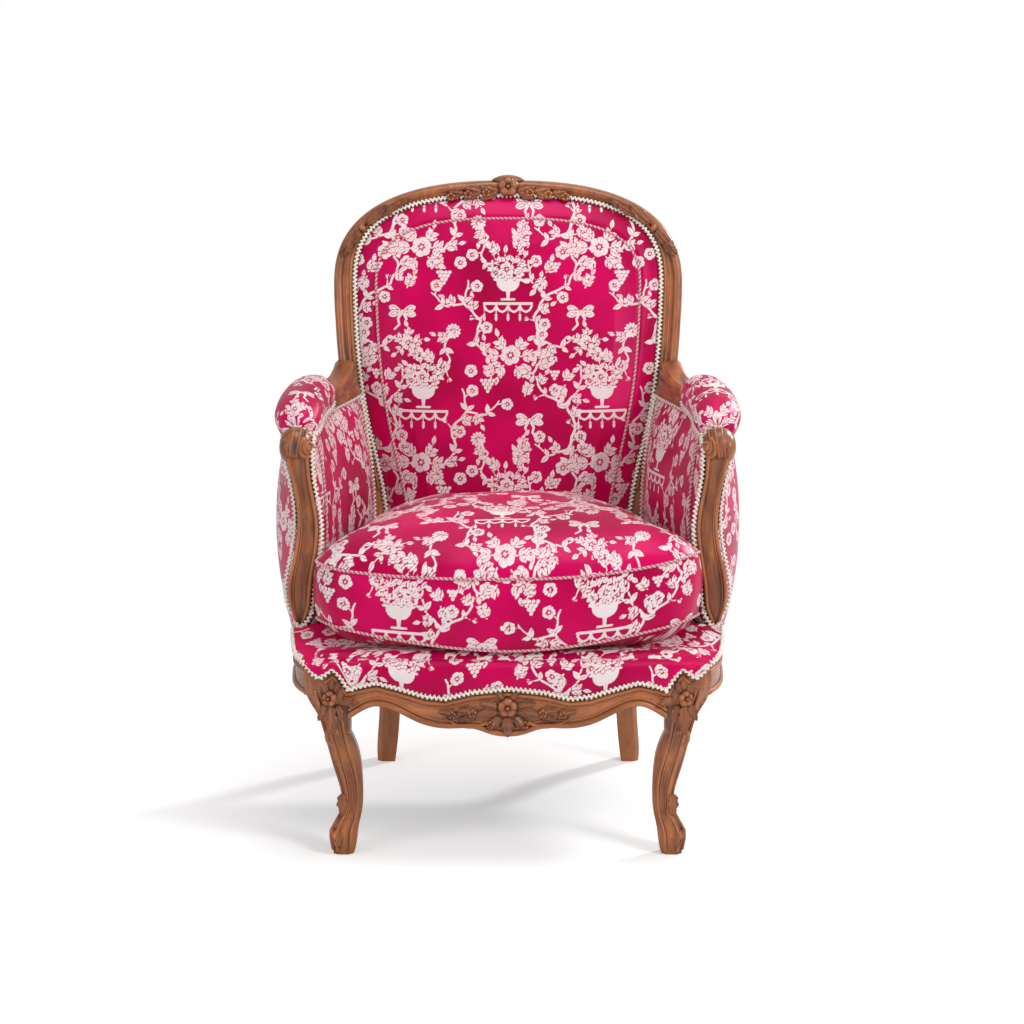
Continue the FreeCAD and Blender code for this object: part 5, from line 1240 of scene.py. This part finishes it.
# Front rail: height of its lower edge by the distance from the middle.
LOW_X = [0, 22, 46, 86, 130, 170, 198, 234]
LOW_Z = [195, 198, 206, 207, 215, 234, 238, 219]
# Apron leaves: place, direction, length, half width.
APRON_LEAVES = ((10, 226, 0.7, -0.75, 26, 8), (14, 240, 1, 0.25, 28, 7.5), (14, 234, 1, -0.15, 34, 7.5),
                (44, 232, 1, 0.12, 30, 7), (46, 226, 1, -0.2, 28, 6), (74, 230, 1, 0.1, 28, 6),
                (6, 252, 0.6, 0.8, 16, 6))
APRON_FLOWERS = ((52, 231, 7), (82, 229, 6), (26, 214, 6))


def rail_face(x):
    """Front face of the serpentine rail."""
    return -298 - 16 * (1 - np.clip(np.abs(x) / 234, 0, 1) ** 2)


def front_rail_moulding():
    """Two rolls along the lower edge and two under the braid."""
    x = np.linspace(-236, 236, 240)
    low_z = smooth_line(LOW_X, LOW_Z, np.abs(x))
    top_z = np.interp(np.abs(x), DECK_EDGE_X, DECK_EDGE_Z)
    parts = []
    for z, proud, radius, sides in ((low_z + 4.5, 0.5, 4.6, 10), (low_z + 12.5, 0.2, 1.8, 6),
                                    (top_z - 6.5, 0.4, 3.4, 8), (top_z - 13.5, 0.2, 1.6, 6)):
        parts.append(sweep(xyz(x, rail_face(x) - proud, z), radius, sides))
    wood_piece("front_rail_moulding", parts, wood_across)


def front_rail_carving():
    parts = carved_flower((0, rail_face(0) - 4, 240), PLUMB, UP, 15, 6)
    parts += [acanthus((0, rail_face(0) - 3, 226), PLUMB, DOWN, 30, 10, 5)]
    for x, z, dx, dz, reach, wide in APRON_LEAVES:
        parts += mirrored_pair([acanthus((x, rail_face(x) - 3, z), PLUMB, (dx, 0, dz), reach, wide, 4.6)])
    for x, z, radius in APRON_FLOWERS:
        parts += mirrored_pair(carved_flower((x, rail_face(x) - 4, z), PLUMB, UP, radius, 4))
    t = np.linspace(0, 1, 40)
    x = 30 + 62 * t
    scroll = xyz(x, rail_face(x) - 2.5, 217 - 10 * np.sin(math.pi * t) + 6 * t)
    parts += mirrored_pair([sweep(scroll, 3.0 - 1.6 * t, 8)])
    wood_piece("front_rail_carving", parts, wood_across)


# Front leg: outer edge and width by height.
LEG_Z = [0, 12.6, 36, 60, 84, 126, 190, 225, 255, 280]
LEG_OUT = [262, 264, 265, 252, 248, 257, 272, 283, 297, 299]
LEG_WIDE = [30, 36, 40, 32, 30, 38, 38, 46, 56, 60]
# Leaves of the knee, then of the ankle and toe: foot, normal, direction, size.
LEG_LEAVES = (((-262, -302, 240), DIAGONAL, (0.05, 0, -1), 44, 10, 5.0),
              ((-270, -300, 240), DIAGONAL, (-0.4, 0, -1), 26, 7, 4),
              ((-254, -301, 240), DIAGONAL, (0.5, 0, -1), 26, 7, 4),
              ((-268, -302, 258), DIAGONAL, (-0.5, 0, 1), 20, 6, 4),
              ((-256, -302, 258), DIAGONAL, (0.5, 0, 1), 20, 6, 4),
              ((-244, -300, 250), DIAGONAL, (1, 0, -0.35), 24, 6, 4),
              ((-249, -259, 92), PLUMB, (0.02, 0, -1), 34, 8, 3.4),
              ((-253, -268, 40), FACE, (-0.1, 0, -1), 28, 9, 4))
KNEE_X, KNEE_Y = [233, 262, 280, 293], [-300.5, -300, -296, -286]


def knee_plate():
    """The peaked plate under the deck braid and its moulding."""
    x = np.linspace(-293, -233, 60)
    top = np.interp(-x, DECK_EDGE_X, DECK_EDGE_Z) - 2.5
    y = np.interp(-x, KNEE_X, KNEE_Y)
    plate = [xyz(x, y + 16, top), xyz(x, y + 2, top), xyz(x, y, top - 2), xyz(x, y + 0.4, 240),
             xyz(x, y + 4, 238)]
    return [grid_part(plate, flip=True), sweep(xyz(x, y - 0.6, top - 9)[6:-4], 2.6, 8)]


def front_leg_carving():
    """Edge rolls down the shaft, a knee flower with leaves, a scroll, ankle and toe."""
    z = np.linspace(6, 262, 120)
    out, wide = smooth_line(LEG_Z, LEG_OUT, z), smooth_line(LEG_Z, LEG_WIDE, z)
    face = -np.minimum(out + 6, 298)
    parts = [sweep(xyz(-out + wide * off, face - 0.4, z), radius, 8)
             for off, radius in ((0.24, 2.6), (0.76, 2.6), (0.36, 1.3), (0.64, 1.3))]
    parts.append(sweep(xyz(-out + 0.3, face + wide * 0.24, z), 2.4, 8))
    parts += carved_flower((-263, -303, 250), DIAGONAL, UP, 12, 5.5)
    parts += [acanthus(*leaf) for leaf in LEG_LEAVES]
    t = np.linspace(0, 1, 50)
    scroll = xyz(-262 + 9 * np.cos(t * 5.2) * (1 - 0.45 * t), -300 + 12 * t,
                 196 + 11 * np.sin(t * 5.2) * (1 - 0.4 * t) - 14 * t)
    parts.append(sweep(scroll, 3.4 - 1.2 * t, 8))
    parts += [lump((-258, -270, 30), (-0.5, -1, 0.1), UP, 9, 7, 5),
              lump((-264, -262, 34), (-1, -0.3, 0.1), UP, 8, 6, 4)]
    both_sides("front_leg_carving", parts + knee_plate(), wood_up)


# Scroll of the arm support: middle and half sizes of its knuckle, middle of its volute.
KNUCKLE = np.array([-319, -143, 605.0])
KNUCKLE_X, KNUCKLE_Y, KNUCKLE_Z = 25, 30.0, 26.0
VOLUTE = np.array([-301.5, -161, 601])
VOLUTE_OUT = np.array([0.6, -0.8, 0])


def support_upright():
    """An S-shaped upright, squarish in plan, with rolled edges on its face."""
    z = np.linspace(SUP_Z[0], 596, 110)
    out, inner, front, rear = (smooth_line(SUP_Z, a, z) for a in (SUP_OUT, SUP_IN, SUP_FACE, SUP_REAR))
    angle = np.linspace(0, 2 * math.pi, 40, endpoint=False)
    cx, cy = (np.sign(a) * np.abs(a) ** 0.45 for a in (np.cos(angle), np.sin(angle)))
    x = -(out + inner)[:, None] / 2 + (out - inner)[:, None] / 2 * cx
    y = (front + rear)[:, None] / 2 + (rear - front)[:, None] / 2 * cy
    points, faces = grid_part(xyz(x, y, z[:, None]), True, True)
    parts = [(points, faces + [tuple(range(40))])]
    for share, radius in ((0.10, 3.0), (0.90, 3.0), (0.22, 1.3)):
        parts.append(sweep(xyz(-out + (out - inner) * share, front - 0.3, z), radius, 8))
    return parts


def support_scroll():
    """A knuckle with fine ridges and a volute on its inner front."""
    parts = [lump(KNUCKLE, UP, (1, 0, 0), KNUCKLE_X, KNUCKLE_Y, KNUCKLE_Z, (24, 34)),
             lump((-332, -148, 601), (-1, 0, 0), UP, 22, 24, 12, (16, 26))]
    a = np.linspace(-0.75, 2.6, 60)
    for shift in (-15, -6, 4, 13):
        size = math.sqrt(1 - (shift / KNUCKLE_X) ** 2)
        ridge = KNUCKLE + xyz(shift + 4 * np.sin(a), -(KNUCKLE_Y * size - 0.5) * np.cos(a),
                              (KNUCKLE_Z * size - 0.5) * np.sin(a))
        parts.append(sweep(ridge, 1.7, 8))
    t = np.linspace(0, 1, 64)[:, None]
    turn = t * 2 * math.pi * 1.4 + 1.9
    spiral = (14.5 - 10 * t) * (np.cos(turn) * [0.80, 0.60, 0] + np.sin(turn) * [0, 0, 1.15])
    parts += [sweep(VOLUTE + spiral + t * [1.8, -2.4, 0], 3.6 - 1.2 * t[:, 0], 8),
              lump(VOLUTE, VOLUTE_OUT, UP, 14, 12, 5, (9, 18)),
              lump(VOLUTE + [2.0, -2.6, 0], VOLUTE_OUT, UP, 5, 4.5, 4)]
    return parts


def arm_rail_moulding():
    """The inner moulding of the arm rail, between the armrest and the inside arm."""
    edge = arm_grid[10:, -1]
    axis_x, axis_z = arm_axis(edge[:, 1])
    high = xyz(13 - axis_x, edge[:, 1], axis_z + 9)
    rows = []
    for t in np.linspace(0, 1, 13):
        swell = 5.0 * math.sin(math.pi * t) + 2.4 * math.sin(3 * math.pi * t)
        rows.append((edge + [0.5, 0, -3]) * (1 - t) + high * t + [0.8 * swell, 0, 0.3 * swell])
    both_sides("arm_rail_moulding", [grid_part(rows)], wood_deep)


def side_rail_moulding():
    """The roll along the lower edge and the bead under the braid."""
    y = np.linspace(-236, 205, 90)
    x = -side_outer(y)
    parts = [sweep(xyz(x - proud, y, z), radius, 8)
             for proud, z, radius in ((0.5, 243, 4.4), (0.3, 274, 3.4))]
    both_sides("side_rail_moulding", parts, wood_deep)


back_mouldings()
crest_carving()
shoulder_carving()
front_rail_moulding()
front_rail_carving()
front_leg_carving()
supports = both_sides("arm_support_carved", support_upright() + support_scroll(), wood_up)
for piece, (_, side) in zip(supports, SIDES):
    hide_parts("arm_support_" + side)
arm_rail_moulding()
side_rail_moulding()


# What the CAD nodes wear
WEAR = (("front_rail", wood_across), ("rear_rail", wood_across), ("back_lower_rail", wood_across),
        ("crest_rail", wood_across), ("side_rail", wood_deep), ("arm_rail", wood_deep),
        ("front_leg", wood_up), ("back_post", wood_up), ("arm_support", wood_up), ("joint_pegs", wood_up),
        ("corner_block_screws", steel), ("corner_blocks", beech), ("dust_cover_tacks", iron),
        ("dust_cover", black_cloth), ("webbing", jute), ("hessian", scrim), ("gimp", gimp_mat),
        ("piping", cord_pale), ("", selvage))

for name, obj in nodes.items():
    obj.data.materials.clear()
    obj.data.materials.append(next(mat for part, mat in WEAR if part in name))


# Floor, light and camera
def stage_piece(name, points, faces, mat):
    mesh = bpy.data.meshes.new(name)
    mesh.from_pydata(points, [], faces)
    mesh.polygons.foreach_set("use_smooth", [True] * len(mesh.polygons))
    obj = bpy.data.objects.new(name, mesh)
    bpy.context.scene.collection.objects.link(obj)
    mesh.materials.append(mat)
    return obj


def floor_material():
    """White floor that takes soft shadows near the chair and is plain white farther off."""
    mat, tree, shader = material("floor", (0.86, 0.86, 0.86), 0.9, 0.1)
    glow, blank = (node(tree, "ShaderNodeEmission", Color=(1, 1, 1, 1), Strength=strength).outputs[0]
                   for strength in (0.34, 1.0))
    reach = node(tree, "ShaderNodeVectorMath", node(tree, "ShaderNodeTexCoord").outputs["Object"])
    reach.operation = "LENGTH"
    fade = spread(tree, reach.outputs["Value"], From_Min=0.75, From_Max=1.5)
    lit = shader.outputs[0]
    both = node(tree, "ShaderNodeAddShader", lit, glow).outputs[0]
    near = node(tree, "ShaderNodeMixShader", fade, both, blank).outputs[0]
    seen = node(tree, "ShaderNodeLightPath").outputs["Is Camera Ray"]
    pick = node(tree, "ShaderNodeMixShader", seen, lit, near).outputs[0]
    feed(tree, tree.nodes["Material Output"].inputs["Surface"], pick)
    return mat


stage_piece("floor", [(-14, -14, 0), (14, -14, 0), (14, 14, 0), (-14, 14, 0)], [(0, 1, 2, 3)],
            floor_material())

world = bpy.data.worlds.new("studio")
bpy.context.scene.world = world
world.use_nodes = True
tree = world.node_tree
background = tree.nodes["Background"]
background.inputs["Color"].default_value = (1, 1, 1, 1)
background.inputs["Strength"].default_value = 0.48
white = node(tree, "ShaderNodeBackground", Color=(1, 1, 1, 1), Strength=1.0)
path = node(tree, "ShaderNodeLightPath")
rays = maths(tree, "MAXIMUM", path.outputs["Is Camera Ray"], path.outputs["Is Transmission Ray"])
choose = node(tree, "ShaderNodeMixShader", rays, background.outputs[0], white.outputs[0])
feed(tree, tree.nodes["World Output"].inputs["Surface"], choose.outputs[0])


def lamp(name, place, aim, size, power, height=None):
    data = bpy.data.lights.new(name, "AREA")
    data.shape = "RECTANGLE"
    data.size, data.size_y = size, height or size
    data.energy = power
    obj = bpy.data.objects.new(name, data)
    bpy.context.scene.collection.objects.link(obj)
    obj.location = place
    obj.rotation_euler = (Vector(aim) - Vector(place)).to_track_quat("-Z", "Y").to_euler()


lamp("key", (2.2, -2.2, 2.3), (0, 0, 0.45), 0.9, 52, 1.2)
lamp("fill", (-2.4, -2.6, 1.5), (0, 0, 0.5), 1.6, 26)
lamp("rear", (2.0, 1.7, 1.9), (0, 0, 0.35), 0.35, 44)
lamp("top", (0.2, -0.3, 3.0), (0, 0, 0.4), 1.2, 22)

# The photograph's camera: metres from the drawing frame's depth plane, and degrees down.
CAMERA_X, CAMERA_AWAY, CAMERA_Z, CAMERA_DOWN = 0.0065, 4.5, 1.30277, 10.429
LENS, SENSOR = 102.83, 36
camera_data = bpy.data.cameras.new("camera")
camera_data.lens, camera_data.sensor_width = LENS, SENSOR
camera = bpy.data.objects.new("camera", camera_data)
bpy.context.scene.collection.objects.link(camera)
camera.location = (CAMERA_X, -CAMERA_AWAY - SET_BACK * TO_METRES, CAMERA_Z)
camera.rotation_euler = (math.radians(90 - CAMERA_DOWN), 0, 0)
bpy.context.scene.camera = camera
bpy.context.scene.view_settings.view_transform = "Standard"
